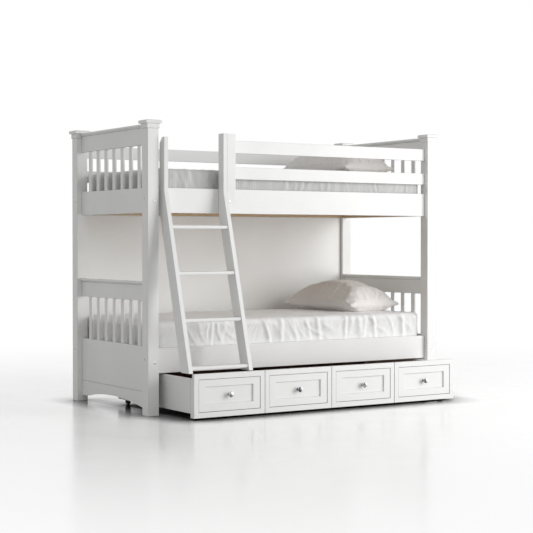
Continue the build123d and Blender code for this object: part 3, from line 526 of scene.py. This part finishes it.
def makeHardwareTree():
    tree, given = shapeTree("hardwareAtPlaces", [
        ("Places", "Geometry"), ("Hardware", "Object"), ("Material", "Material")])
    shape = addNode(tree, "GeometryNodeObjectInfo", {"Object": given["Hardware"]}).outputs["Geometry"]
    facing, stretch = (addNode(tree, "GeometryNodeInputNamedAttribute", {
        "Name": name}, data_type="FLOAT_VECTOR") for name in ("facing", "stretch"))
    turned = addNode(tree, "FunctionNodeAlignRotationToVector", {"Vector": facing.outputs[0]}, axis="Z")
    copies = addNode(tree, "GeometryNodeInstanceOnPoints", {
        "Points": given["Places"], "Instance": shape, "Rotation": turned.outputs[0],
        "Scale": stretch.outputs[0]})
    endTree(tree, copies.outputs[0], given["Material"])
    return tree


def runTree(tree, values, startMesh=None):
    # evaluate a tree on a helper object and keep its result as a plain mesh
    helper = linked("helper", startMesh or bpy.data.meshes.new("helper"))
    modifier = helper.modifiers.new("shape", "NODES")
    modifier.node_group = tree
    for item in tree.interface.items_tree:
        if item.in_out == "INPUT" and item.name in values:
            modifier[item.identifier] = values[item.name]
    mesh = evaluated(helper)
    bpy.data.objects.remove(helper)
    return mesh


boardTree, hardwareTree = makeBoardTree(), makeHardwareTree()


def placedHardware(hardwareMesh, places, material):
    # places are (point, facing, stretch)
    spots = meshFrom("places", [place[0] for place in places], [])
    for label, index in (("facing", 1), ("stretch", 2)):
        layer = spots.attributes.new(label, "FLOAT_VECTOR", "POINT")
        layer.data.foreach_set("vector", [value for place in places for value in place[index]])
    source = linked("source", hardwareMesh)
    mesh = runTree(hardwareTree, {"Hardware": source, "Material": material}, spots)
    bpy.data.objects.remove(source)
    return mesh


def joined(name, meshes):
    shape = bmesh.new()
    for mesh in meshes:
        shape.from_mesh(mesh)
    whole = bpy.data.meshes.new(name)
    shape.to_mesh(whole)
    shape.free()
    return whole


# boards that keep their CAD shape
boardGrain = {
    "z": ["post_front_left", "post_front_right", "post_back_left", "post_back_right", "guard_end_post",
          "ladder_stile_left", "ladder_stile_right"],
    "x": ["lower_side_rail_front", "lower_side_rail_back", "upper_side_rail_front", "upper_side_rail_back",
          "guard_low_rail_front", "guard_low_rail_back", "guard_top_rail_front", "guard_top_rail_back",
          "back_panel", "drawer_face_frames", "drawer_false_fronts", "drawer_front_board"],
    "y": ["post_caps", "end_mouldings", "drawer_sides"] + [
        name + side for side in ("left", "right") for name in (
            "upper_end_top_rail_", "upper_end_low_rail_", "lower_end_top_rail_", "lower_end_panel_",
            "lower_end_arch_rail_")]}
drawerNodes = set(frame["record"]["behaviour"]["bodies"]["drawer"])


def dressBoards():
    for along, nodes in boardGrain.items():
        for node in nodes:
            body = "drawer" if node in drawerNodes else "bed"
            piece = addPiece(
                camelName(node), dressedCopy(node), paint[along], body, [node], 50)
            softened = piece.modifiers.new("softCorners", "WEIGHTED_NORMAL")
            softened.keep_sharp = True
            softened.weight = 80
    for node in ("drawer_back", "drawer_floor", "drawer_dividers"):
        addPiece(camelName(node), dressedCopy(node), lining, "drawer", [node])
    for node in ("lower_ledgers", "upper_ledgers"):
        addPiece(camelName(node), dressedCopy(node), pineAlongX, "bed", [node])


dressBoards()
print("boards dressed")


# boards that repeat
repeatSettings = {
    "endSlat": {"width": 0.036, "thickness": 0.012, "pitch": 0.1085, "edge": 0.0022},
    "bedSlat": {"width": 0.075, "thickness": 0.02, "pitch": 0.143, "edge": 0.003},
    "tread": {"depth": 0.076, "thickness": 0.02, "edge": 0.004, "count": 4}}


def makeRow(node, slot, **values):
    addPiece(camelName(node), runTree(boardTree, values), values["Material"], "bed", [node])


def rowCount(low, high, settings):
    return round((high - low - settings["width"]) / settings["pitch"]) + 1


def makeEndSlats(node):
    settings = repeatSettings["endSlat"]
    low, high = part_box(node)
    middle = (low + high) / 2
    makeRow(node, "white_paint", Count=rowCount(low.y, high.y, settings),
            First=(middle.x, low.y + settings["width"] / 2, middle.z), Step=(0, settings["pitch"], 0),
            Turn=(0, 0, 0), Length=high.z - low.z, Width=settings["thickness"], Thickness=settings["width"],
            Edge=settings["edge"], Material=paint["z"])


def makeBedSlats(node):
    settings = repeatSettings["bedSlat"]
    low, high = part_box(node)
    middle = (low + high) / 2
    makeRow(node, "bare_pine", Count=rowCount(low.x, high.x, settings),
            First=(low.x + settings["width"] / 2, middle.y, middle.z), Step=(settings["pitch"], 0, 0),
            Turn=(math.pi / 2, 0, 0), Length=high.y - low.y, Width=settings["width"],
            Thickness=settings["thickness"], Edge=settings["edge"], Material=pineAlongY)


def makeTreads():
    settings = repeatSettings["tread"]
    low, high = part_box("ladder_rungs")
    steps = settings["count"] - 1
    depth, thickness = settings["depth"], settings["thickness"]
    makeRow("ladder_rungs", "white_paint", Count=settings["count"],
            First=((low.x + high.x) / 2, low.y + depth / 2, low.z + thickness / 2),
            Step=(0, (high.y - low.y - depth) / steps, (high.z - low.z - thickness) / steps),
            Turn=(0, math.pi / 2, 0), Length=high.x - low.x, Width=thickness, Thickness=depth,
            Edge=settings["edge"], Material=paint["x"])


for level in ("lower", "upper"):
    makeBedSlats(level + "_bed_slats")
    for side in ("left", "right"):
        makeEndSlats(f"{level}_end_slats_{side}")
makeTreads()
print("slats and treads made")


# bolts and barrel nuts
boltSettings = {
    "headRadius": 0.007, "headHeight": 0.0045, "shankRadius": 0.003, "sink": 0.004, "socket": 0.0025,
    "socketDepth": 0.0026, "offset": 0.01, "railReach": 0.108, "ladderReach": 0.0553, "ladderDrop": 0.03,
    "guardReach": 0.0785, "guardInset": 0.015, "headSides": 24, "nutRadius": 0.005, "nutLength": 0.016,
    "nutFromEnd": 0.035}


def boltHeadMesh():
    # a low round head with a six-sided socket
    settings = boltSettings
    sides = settings["headSides"]
    radius, height = settings["headRadius"], settings["headHeight"]
    rings = [("round", radius - 0.0006, 0), ("round", radius, 0.0006), ("round", radius, height - 0.0014),
             ("round", radius - 0.0004, height - 0.0005), ("round", radius - 0.0014, height),
             ("six", settings["socket"] + 0.0003, height), ("six", settings["socket"], height - 0.0004),
             ("six", settings["socket"], height - settings["socketDepth"])]
    points, faces = [], []
    for form, size, rise in rings:
        for step in range(sides):
            angle = 2 * math.pi * step / sides
            reach = size if form == "round" else size / math.cos((angle % (math.pi / 3)) - math.pi / 6)
            points.append((reach * math.cos(angle), reach * math.sin(angle), rise))
    for ring in range(len(rings) - 1):
        here = ring * sides
        for step in range(sides):
            after = (step + 1) % sides
            faces.append((here + step, here + after, here + sides + after, here + sides + step))
    faces += [tuple(reversed(range(sides))), tuple(range(len(points) - sides, len(points)))]
    return meshFrom("boltHead", points, faces)


def makeBolts():
    settings = boltSettings
    sink, whole = settings["sink"], (1, 1, 1)
    places, nuts = [], []
    for endName, endX in (("left", -1), ("right", 1)):
        for sideName, sideY in (("front", -1), ("back", 1)):
            postLow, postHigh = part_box(f"post_{sideName}_{endName}")
            face = Vector((postHigh.x if endX > 0 else postLow.x, postHigh.y if sideY > 0 else postLow.y, 0))
            inner = Vector((postLow.x if endX > 0 else postHigh.x, postLow.y if sideY > 0 else postHigh.y, 0))
            for railNode, endNode in (("lower_side_rail_", "lower_end_panel_"),
                                      ("upper_side_rail_", "upper_end_low_rail_")):
                low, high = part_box(railNode + sideName)
                height = (low.z + high.z) / 2 + settings["offset"]
                middleY = (low.y + high.y) / 2
                places.append(((face.x - endX * sink, middleY, height), (endX, 0, 0), settings["railReach"]))
                nuts.append(((inner.x - endX * settings["nutFromEnd"], middleY, height), (0, 1, 0), whole))
                endLow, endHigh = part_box(endNode + endName)
                middleX = (endLow.x + endHigh.x) / 2
                lower = height - 2 * settings["offset"]
                places.append(((middleX, face.y - sideY * sink, lower), (0, sideY, 0), settings["railReach"]))
                nuts.append(((middleX, inner.y - sideY * settings["nutFromEnd"], lower), (1, 0, 0), whole))
    railLow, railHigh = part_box("upper_side_rail_front")
    for node in ("ladder_stile_left", "ladder_stile_right"):
        low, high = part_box(node)
        middleX = (low.x + high.x) / 2
        places.append(((middleX, railHigh.y - 0.0047, railHigh.z - settings["ladderDrop"]), (0, 1, 0),
                       settings["ladderReach"]))
    low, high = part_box("guard_end_post")
    places.append(((low.x + settings["guardInset"], low.y + sink, (railLow.z + railHigh.z) / 2), (0, -1, 0),
                   settings["guardReach"]))
    heads = placedHardware(boltHeadMesh(), [(point, facing, whole) for point, facing, _ in places], zincSteel)
    shank = turnedMesh("shank", [(settings["shankRadius"], -1), (settings["shankRadius"], 0)], 20)
    shanks = placedHardware(
        shank, [(point, facing, (1, 1, reach)) for point, facing, reach in places], zincSteel)
    bolts = joined("railBolts", [heads, shanks])
    addPiece("railBolts", bolts, zincSteel, "bed", ["rail_bolts"], 30)
    radius, half = settings["nutRadius"], settings["nutLength"] / 2
    outline = roundedProfile([(0, -half), (radius, -half), (radius, half), (0, half)], 0.0006, 3)
    nutMesh = placedHardware(turnedMesh("nut", outline, 32), nuts, zincSteel)
    addPiece("barrelNuts", nutMesh, zincSteel, "bed", ["barrel_nuts"], 35)


makeBolts()


# knobs
knobSettings = {"radius": 0.016, "stand": 0.03, "dome": 0.004, "neck": 0.006, "base": 0.01,
                "baseHeight": 0.004, "count": 4, "turning": 56}


def makeKnobs():
    settings = knobSettings
    low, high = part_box("drawer_knobs")
    radius, stand = settings["radius"], settings["stand"]
    base, neck = settings["base"], settings["neck"]
    profile = [(0.0, 0.0), (base, 0.0), (base, 0.0022), (0.0075, settings["baseHeight"]),
               (neck, 0.0075), (neck, 0.013), (0.0085, 0.0175), (0.0145, 0.0205),
               (radius, 0.0228), (radius, stand - settings["dome"])]
    dome = [(radius * math.cos(turn), stand - settings["dome"] + settings["dome"] * math.sin(turn))
            for turn in np.linspace(0.15, math.pi / 2, 12)]
    knob = turnedMesh("knob", roundedProfile(profile + dome[:1], 0.0014, 5) + dome[1:], settings["turning"])
    pitch = (high.x - low.x - 2 * radius) / (settings["count"] - 1)
    places = [((low.x + radius + pitch * step, high.y, (low.z + high.z) / 2), (0, -1, 0), (1, 1, 1))
              for step in range(settings["count"])]
    mesh = placedHardware(knob, places, chrome)
    addPiece("drawerKnobs", mesh, chrome, "drawer", ["drawer_knobs"], 50)


makeKnobs()


# casters
casterSettings = {"bore": 0.0041, "hub": 0.009, "web": 0.006, "steps": 48, "sheet": 0.0025,
                  "axle": 0.004, "headRadius": 0.006, "footRadius": 0.009, "width": 0.034}


def makeWheel(node):
    settings = casterSettings
    low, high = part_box(node)
    centre = (low + high) / 2
    radius, half = (high.z - low.z) / 2, (high.x - low.x) / 2
    bore, hub, web = settings["bore"], settings["hub"], settings["web"]
    side = [(bore, half), (hub, half), (hub + 0.001, web), (radius - 0.006, web),
            (radius - 0.0045, half - 0.001), (radius - 0.001, half - 0.0035)]
    profile = side + [(radius, 0)] + [(reach, -height) for reach, height in reversed(side)]
    rounded = roundedProfile(profile, 0.0012, 3)
    mesh = turnedMesh(node, rounded, settings["steps"], closed=True)
    mesh.transform(Matrix.Translation(centre) @ Matrix.Rotation(math.pi / 2, 4, "Y"))
    addPiece(camelName(node), mesh, casterNylon, node + "_body", [node], 35)


def slabMesh(outline, low, high):
    # an outline in Y and Z, given thickness along X
    count = len(outline)
    points = [(x, y, z) for x in (low, high) for y, z in outline]
    faces = [tuple(reversed(range(count))), tuple(range(count, 2 * count))]
    for step in range(count):
        after = (step + 1) % count
        faces.append((step, after, count + after, count + step))
    return reworked(meshFrom("slab", points, faces), faceOutward)


def makeBrackets():
    settings = casterSettings
    low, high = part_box("caster_brackets")
    wheels = [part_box(f"wheel_{row}_{number}") for row in ("front", "back") for number in range(1, 5)]
    top = high.z
    centreZ = (wheels[0][0].z + wheels[0][1].z) / 2
    wheelHalf = (wheels[0][1].x - wheels[0][0].x) / 2
    outer = wheelHalf + 0.0015 + settings["sheet"]
    foot, half = settings["footRadius"], settings["width"] / 2
    arc = [(foot * math.cos(turn), centreZ - foot * math.sin(turn)) for turn in np.linspace(0, math.pi, 13)]
    cheek = [(half, top)] + arc + [(-half, top)]
    sheet = settings["sheet"]
    plate = [(half, top), (half, top - sheet), (-half, top - sheet), (-half, top)]
    meshes = [slabMesh(cheek, outer - sheet, outer), slabMesh(cheek, -outer, sheet - outer),
              slabMesh(plate, -outer, outer)]
    wide, thin = settings["headRadius"], settings["axle"]
    head = [(0, outer + 0.002), (wide - 0.001, outer + 0.002), (wide, outer + 0.001), (wide, outer),
            (thin, outer)]
    rivet = turnedMesh("rivet", [(reach, -height) for reach, height in head] + head[::-1], 28)
    rivet.transform(Matrix.Translation((0, 0, centreZ)) @ Matrix.Rotation(math.pi / 2, 4, "Y"))
    bracket = joined("bracket", meshes + [rivet])
    places = [(((a.x + b.x) / 2, (a.y + b.y) / 2, 0), (0, 0, 1), (1, 1, 1)) for a, b in wheels]
    mesh = placedHardware(bracket, places, casterSteel)
    addPiece("casterBrackets", mesh, casterSteel, "drawer", ["caster_brackets"], 35)


for row in ("front", "back"):
    for number in range(1, 5):
        makeWheel(f"wheel_{row}_{number}")
makeBrackets()
print("hardware made")


# mattresses in fitted sheets
mattressSettings = {
    "corner": 0.06, "edge": 0.034, "crown": 0.008, "crownRun": 0.2, "waist": 0.003, "topRings": 22,
    "alongSteps": 380, "acrossSteps": 84, "cornerSteps": 10,
    "frontFolds": [0.463, 0.561, 0.817, 0.846, 0.949, 1.038, 1.135, 1.218, 1.442, 1.497, 1.545, 1.601, 1.657,
                   1.885, 2.035],
    "foldCounts": {"front": 26, "right": 9, "back": 24, "left": 9}, "foldDepth": 0.011,
    "endFoldDepth": 0.002, "crumple": 0.012, "topCrumple": 0.005, "endSlack": 0.0022,
    "underInsets": (0.36, 0.24, 0.14, 0.08, 0.05)}


def outlineRing(halfLength, halfWidth, corner, settings):
    # points round a rounded rectangle
    x, y = halfLength - corner, halfWidth - corner
    points = []
    along, across = settings["alongSteps"], settings["acrossSteps"]
    sides = [((-x, -halfWidth), (x, -halfWidth), along, (x, -y), -90),
             ((halfLength, -y), (halfLength, y), across, (x, y), 0),
             ((x, halfWidth), (-x, halfWidth), along, (-x, y), 90),
             ((-halfLength, y), (-halfLength, -y), across, (-x, -y), 180)]
    for start, end, steps, centre, turn in sides:
        for share in np.linspace(0, 1, steps, endpoint=False):
            points.append((start[0] + (end[0] - start[0]) * share, start[1] + (end[1] - start[1]) * share))
        for share in np.linspace(0, 1, settings["cornerSteps"], endpoint=False):
            angle = math.radians(turn + 90 * share)
            points.append((centre[0] + corner * math.cos(angle), centre[1] + corner * math.sin(angle)))
    return np.array(points)


def foldPlan(lengthAlong, count, chance, places=None):
    chosen = places or sorted(chance.uniform(0.05, lengthAlong - 0.05) for _ in range(count))
    return [{"place": place, "width": chance.uniform(0.009, 0.02), "depth": chance.uniform(0.45, 1.0),
             "lean": chance.uniform(-0.35, 0.35), "over": chance.uniform(0.02, 0.13)} for place in chosen]


def foldHeight(folds, along, rise, inward):
    # how far the sheet stands out at a place along a side, rise above the bottom, inward over the top
    total = np.zeros_like(along)
    for fold in folds:
        shift = (along - fold["place"] - fold["lean"] * (0.2 - rise)) / fold["width"]
        ridge = np.exp(-shift ** 2) - 0.55 * np.exp(-(shift - 1.9) ** 2)
        fade = np.clip(1 - inward / fold["over"], 0, 1) ** 1.5 * np.clip((rise - 0.02) / 0.06, 0, 1)
        total += fold["depth"] * ridge * fade
    return total


def creaseHeight(along, up, seed):
    # crumpled cloth: broad swells with sharper creases that wander over them
    swell = noise.noise(Vector((along * 5, up * 4, seed)))
    bend = noise.noise(Vector((along * 3, up * 3, seed + 11)))
    crease = 1 - 3.2 * abs(noise.noise(Vector((along * 9 + up * 5 + bend * 2, up * 5 - along * 2, seed + 3))))
    small = 1 - 3 * abs(noise.noise(Vector((along * 21 - up * 9, up * 12 + bend * 3, seed + 8))))
    return 0.45 * swell + 0.5 * max(0.0, crease) + 0.22 * max(0.0, small)


def makeMattress(node, seed, frontFolds, cotton, rumple):
    # rumple scales how deep the folds and creases of the fitted sheet are
    settings = mattressSettings
    chance = random.Random(seed)
    low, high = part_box(node)
    centre = (low + high) / 2
    length, width, height = high - low
    edge, corner = settings["edge"], settings["corner"]
    shoulder = height - settings["crown"]
    # (inset, height) of each ring, from under the mattress up over its side to the top
    levels = [(inset, 0.0) for inset in settings["underInsets"]]
    levels += [(edge * (1 - math.sin(turn)), edge * (1 - math.cos(turn)))
               for turn in np.linspace(0, math.pi / 2, 7)]
    for share in np.linspace(0, 1, 22)[1:-1]:
        levels.append((settings["waist"] * math.sin(math.pi * share), edge + (shoulder - 2 * edge) * share))
    levels += [(edge * (1 - math.cos(turn)), shoulder - edge * (1 - math.sin(turn)))
               for turn in np.linspace(0, math.pi / 2, 9)]
    for share in np.linspace(0, 1, settings["topRings"] + 1)[1:]:
        inset = edge + (width / 2 - edge - 0.006) * share
        climb = min(1.0, (inset - edge) / settings["crownRun"])
        levels.append((inset, shoulder + settings["crown"] * climb * climb * (3 - 2 * climb)))
    sides = {}
    for name, count in settings["foldCounts"].items():
        side = length if name in ("front", "back") else width
        sides[name] = foldPlan(side, count, chance, frontFolds if name == "front" else None)
    rings = []
    for inset, rise in levels:
        ring = outlineRing(length / 2 - inset, width / 2 - inset, max(corner - inset, 0.004), settings)
        x, y = ring[:, 0], ring[:, 1]
        over = max(0.0, inset - 0.004) if rise > shoulder - edge else 0.0
        flat = np.full(len(ring), rise)
        inward = np.full(len(ring), over)
        fromLeft, fromRight = length / 2 + x, length / 2 - x
        fromFront, fromBack = width / 2 + y, width / 2 - y
        reach = {"front": fromFront, "back": fromBack, "right": fromRight, "left": fromLeft}
        along = {"front": fromLeft, "back": fromRight, "right": fromFront, "left": fromBack}
        pushX, pushY, lift = np.zeros(len(ring)), np.zeros(len(ring)), np.zeros(len(ring))
        for name, folds in sides.items():
            near = np.clip(1 - (reach[name] - inset) / (0.02 if over == 0 else 0.1), 0, 1)
            depth = rumple * settings["foldDepth" if name in ("front", "back") else "endFoldDepth"]
            stand = foldHeight(folds, along[name], flat, inward) * near * depth
            outward = math.cos(min(1.0, over / edge) * math.pi / 2)
            sign = {"front": (0, -1), "back": (0, 1), "right": (1, 0), "left": (-1, 0)}[name]
            pushX += sign[0] * stand * outward
            pushY += sign[1] * stand * outward
            lift += stand * (1 - outward) * 0.6
        for index in range(len(ring)):
            crease = rumple * creaseHeight(x[index] + y[index], rise + over, seed)
            if rise > shoulder - edge:
                top = creaseHeight(x[index], y[index] * 1.6, seed + 5)
                lift[index] += settings["topCrumple"] * top * min(1.0, over / edge)
            hanging = min(1.0, max(0.0, (rise - 0.03) / 0.05)) * math.cos(
                min(1.0, over / edge) * math.pi / 2)
            if y[index] < -width / 2 + corner or y[index] > width / 2 - corner:
                pushY[index] += math.copysign(settings["crumple"] * crease * hanging, y[index])
        rings.append(np.column_stack([x + pushX, y + pushY, flat + lift]))
    count = len(rings[0])
    points = np.concatenate(rings) + np.array([centre.x, centre.y, low.z])
    points[:, 0] = np.clip(points[:, 0], low.x - settings["endSlack"], high.x + settings["endSlack"])
    faces = []
    for level in range(len(rings) - 1):
        for step in range(count):
            after = (step + 1) % count
            start = level * count
            faces.append((start + step, start + after, start + count + after, start + count + step))
    faces.append(tuple(reversed(range(count))))
    top = (len(rings) - 1) * count
    alongSteps = settings["alongSteps"]
    backStart = alongSteps + settings["acrossSteps"] + 2 * settings["cornerSteps"]
    for step in range(alongSteps):
        faces.append((top + step, top + step + 1, top + backStart + alongSteps - step - 1,
                      top + backStart + alongSteps - step))
    rightEnd = list(range(top + alongSteps, top + backStart + 1))
    leftEnd = list(range(top + backStart + alongSteps, top + count)) + [top]
    faces += [tuple(rightEnd), tuple(leftEnd)]
    mesh = meshFrom(camelName(node), points, faces)
    girth = np.cumsum([0] + [math.hypot(b[0] - a[0], b[1] - a[1]) for a, b in zip(levels, levels[1:])])
    layer = mesh.uv_layers.new(name="cloth")
    for loop in mesh.loops:
        point = mesh.vertices[loop.vertex_index].co
        layer.data[loop.index].uv = (point.x, girth[min(loop.vertex_index // count, len(levels) - 1)])
    piece = addPiece(camelName(node), mesh, cotton, "bed", [node], 80)


frontFolds = [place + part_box("post_front_left")[0].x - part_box("lower_mattress")[0].x
              for place in mattressSettings["frontFolds"]]
makeMattress("lower_mattress", 3, frontFolds, sheetCotton, 1.0)
# the upper sheet's material carries painted shade
makeMattress("upper_mattress", 11, None, upperSheetCottonPaintedShade, 0.4)
print("mattresses made")


# pillows, blown up as cloth
pillowSettings = {
    "width": 0.45, "length": 0.69, "turn": 6.0, "seam": 0.042, "waist": 0.022,
    "voxel": 0.0065, "pressure": 3.5, "slack": -0.05, "cap": 0.022, "frames": 20, "tension": 30,
    "compression": 12, "bending": 0.4, "heldRim": 0.965, "topGap": 0.012, "creases": 9, "creaseReach": 0.75,
    "creaseWidth": 0.013, "creaseDepths": (0.0045, 0.0015), "crumple": 0.011, "lowest": 0.0008}


def pillowStart(settings, height):
    # a closed pillow shape in its own frame: X across, Y along, with its underside at zero
    steps = 60
    points, faces = [], []
    halfX, halfY = settings["width"] / 2, settings["length"] / 2
    for sign in (1, -1):
        for row in range(steps + 1):
            v = 2 * row / steps - 1
            for column in range(steps + 1):
                u = 2 * column / steps - 1
                x = u * (halfX - settings["waist"] * (1 - v * v))
                y = v * (halfY - settings["waist"] * (1 - u * u))
                full = max(0.0, (1 - u * u) * (1 - v * v))
                if sign > 0:
                    z = settings["seam"] + (height - settings["seam"]) * full ** 0.5
                else:
                    z = settings["seam"] * (1 - min(1.0, 3.2 * full) ** 0.6)
                points.append((x, y, z))
    side = (steps + 1) ** 2
    for sign in (0, 1):
        for row in range(steps):
            for column in range(steps):
                a = sign * side + row * (steps + 1) + column
                quad = (a, a + 1, a + steps + 2, a + steps + 1)
                faces.append(quad if sign == 0 else tuple(reversed(quad)))
    return reworked(meshFrom("pillow", points, faces), weld(1e-5), faceOutward)


def inflate(mesh, settings, name):
    # remesh, blow up with slack cloth, and limit how far any point moves
    bag = linked(name, mesh)
    remesh = bag.modifiers.new("remesh", "REMESH")
    remesh.mode = "VOXEL"
    remesh.voxel_size = settings["voxel"]
    dense = evaluated(bag)
    bag.modifiers.remove(remesh)
    bag.data = dense
    start = np.array([vertex.co for vertex in dense.vertices])
    halfX, halfY = settings["width"] / 2, settings["length"] / 2
    u, v = start[:, 0] / halfX, start[:, 1] / halfY
    waist = settings["waist"]
    rim = np.maximum(np.abs(u) + waist / halfX * (1 - v * v), np.abs(v) + waist / halfY * (1 - u * u))
    held = bag.vertex_groups.new(name="held")
    for index in np.flatnonzero(rim > settings["heldRim"]):
        held.add([int(index)], 1.0, "REPLACE")
    cloth = bag.modifiers.new("cloth", "CLOTH")
    cloth.settings.use_pressure = True
    cloth.settings.uniform_pressure_force = settings["pressure"]
    cloth.settings.effector_weights.gravity = 0
    cloth.settings.shrink_min = settings["slack"]
    cloth.settings.vertex_group_mass = "held"
    cloth.settings.tension_stiffness = settings["tension"]
    cloth.settings.compression_stiffness = settings["compression"]
    cloth.settings.bending_stiffness = settings["bending"]
    cloth.settings.quality = 5
    cloth.collision_settings.use_collision = False
    cloth.point_cache.frame_end = settings["frames"]
    for moment in range(1, settings["frames"] + 1):
        bpy.context.scene.frame_set(moment)
    blown = evaluated(bag)
    bag.modifiers.remove(cloth)
    bpy.context.scene.frame_set(1)
    moved = np.array([vertex.co for vertex in blown.vertices])
    shift = moved - start
    far = np.linalg.norm(shift, axis=1, keepdims=True)
    moved = start + shift * np.minimum(1.0, settings["cap"] / np.maximum(far, 1e-9))
    for vertex, place in zip(blown.vertices, moved):
        vertex.co = place
    bpy.data.objects.remove(bag)
    return blown


def makePillow(node, seed):
    settings = pillowSettings
    low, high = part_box(node)
    centre = (low + high) / 2
    height = high.z - low.z
    mesh = pillowStart(settings, height - settings["topGap"])
    mesh = inflate(mesh, settings, camelName(node) + "Bag")
    helper = linked("helper", mesh)
    smooth = helper.modifiers.new("smooth", "SUBSURF")
    smooth.levels = smooth.render_levels = 1
    fine = evaluated(helper)
    bpy.data.objects.remove(helper)
    chance = random.Random(seed)
    creases = [{"from": chance.uniform(-0.9, 0.9), "side": side, "depth": chance.uniform(0.4, 1),
                "lean": chance.uniform(-0.5, 0.5)} for side in (-1, 1) for _ in range(settings["creases"])]
    halfX, halfY = settings["width"] / 2, settings["length"] / 2
    layer = fine.uv_layers.get("cloth") or fine.uv_layers.new(name="cloth")
    for vertex in fine.vertices:
        x, y, z = vertex.co
        u, v = x / halfX, y / halfY
        for crease in creases:
            # shallow folds run in from the long seams and die out towards the middle
            depthIn = 1 - abs(u)
            across = (v - crease["from"] - crease["lean"] * depthIn) * halfY
            if u * crease["side"] > 0 and depthIn < settings["creaseReach"]:
                fade = (1 - depthIn / settings["creaseReach"]) * min(1.0, depthIn * 12)
                depth = settings["creaseDepths"][0 if z > settings["seam"] else 1] * crease["depth"]
                z += depth * fade * math.exp(-(across / settings["creaseWidth"]) ** 2)
        swell = min(1.0, 4 * (1 - abs(u))) * min(1.0, 4 * (1 - abs(v)))
        if z > settings["seam"]:
            z += settings["crumple"] * swell * creaseHeight(y * 1.4, x * 0.6 + z, seed)
        vertex.co = (x, y, max(z, settings["lowest"]))
    for loop in fine.loops:
        point = fine.vertices[loop.vertex_index].co
        layer.data[loop.index].uv = (point.x + point.z * math.copysign(0.5, point.x), point.y)
    turned = Matrix.Rotation(math.radians(settings["turn"]), 4, "Z")
    fine.transform(Matrix.Translation((centre.x, centre.y, low.z)) @ turned)
    piece = addPiece(camelName(node), fine, pillowCotton, "bed", [node], 80)


makePillow("lower_pillow", 5)
makePillow("upper_pillow", 9)
print("pillows made")


# floor, light and background
studioSettings = {
    "floorColour": (0.93, 0.93, 0.93, 1), "floorBounce": (0.6, 0.6, 0.6, 1), "floorRoughness": (0.15, 0.21),
    "shadowColour": (0.02, 0.02, 0.02, 1), "shadowReach": 0.22, "shadowDepth": 4.0, "floorLift": 0.13,
    "fadeReach": (1.9, 5.0), "ambient": 0.51, "keyPlace": (3.7, -4.6, 1.8), "keyAim": (0.2, 0.0, 0.7),
    "keySize": 4.0, "keyPower": 226}


def makeFloor():
    settings = studioSettings
    mesh = meshFrom("floor", [(-30, -30, 0), (30, -30, 0), (30, 30, 0), (-30, 30, 0)], [(0, 1, 2, 3)])
    material, tree, shader = startMaterial("studioFloor")
    place = objectPlace(tree)
    rough = remap(tree, noiseAt(tree, place, 3.0, 6.0), 0.3, 0.7, *settings["floorRoughness"])
    tree.links.new(rough, shader.inputs["Roughness"])
    seen = raysShown(tree)
    openness = addNode(tree, "ShaderNodeAmbientOcclusion", {
        "Distance": settings["shadowReach"]}, samples=12)
    shaded = compute(tree, "POWER", openness.outputs["AO"], settings["shadowDepth"])
    colour = mixColours(tree, shaded, settings["shadowColour"], settings["floorColour"])
    tree.links.new(mixColours(tree, seen, settings["floorBounce"], colour), shader.inputs["Base Color"])
    tree.links.new(times(tree, shaded, 0.5), shader.inputs["Specular IOR Level"])
    lift = addNode(tree, "ShaderNodeEmission", {
        "Color": (1, 1, 1, 1), "Strength": compute(
            tree, "MULTIPLY", times(tree, seen, shaded), settings["floorLift"])})
    both = addNode(tree, "ShaderNodeAddShader", {0: shader.outputs[0], 1: lift.outputs[0]})
    away = addNode(tree, "ShaderNodeVectorMath", {0: place}, operation="LENGTH").outputs["Value"]
    white = addNode(tree, "ShaderNodeEmission", {"Color": (1, 1, 1, 1), "Strength": 1.0})
    fading = remap(tree, away, *settings["fadeReach"], 0.0, 1.0)
    shown = addNode(tree, "ShaderNodeMixShader", {
        0: times(tree, seen, fading), 1: both.outputs[0], 2: white.outputs[0]})
    tree.links.new(shown.outputs[0], tree.nodes["Material Output"].inputs["Surface"])
    mesh.materials.append(material)
    floor = linked("floor", mesh)


def makeLight():
    settings = studioSettings
    world = bpy.data.worlds.new("studio")
    bpy.context.scene.world = world
    world.use_nodes = True
    tree = world.node_tree
    seen = raysShown(tree)
    strength = remap(tree, seen, 0.0, 1.0, settings["ambient"], 1.0)
    background = tree.nodes["Background"]
    background.inputs["Color"].default_value = (1, 1, 1, 1)
    tree.links.new(strength, background.inputs["Strength"])
    lamp = bpy.data.objects.new("key", bpy.data.lights.new("key", "AREA"))
    lamp.data.size = settings["keySize"]
    lamp.data.energy = settings["keyPower"]
    lamp.location = settings["keyPlace"]
    aim = Vector(settings["keyAim"]) - Vector(settings["keyPlace"])
    lamp.rotation_euler = aim.to_track_quat("-Z", "Y").to_euler()
    bpy.context.collection.objects.link(lamp)


makeFloor()
makeLight()
print("floor and light made")
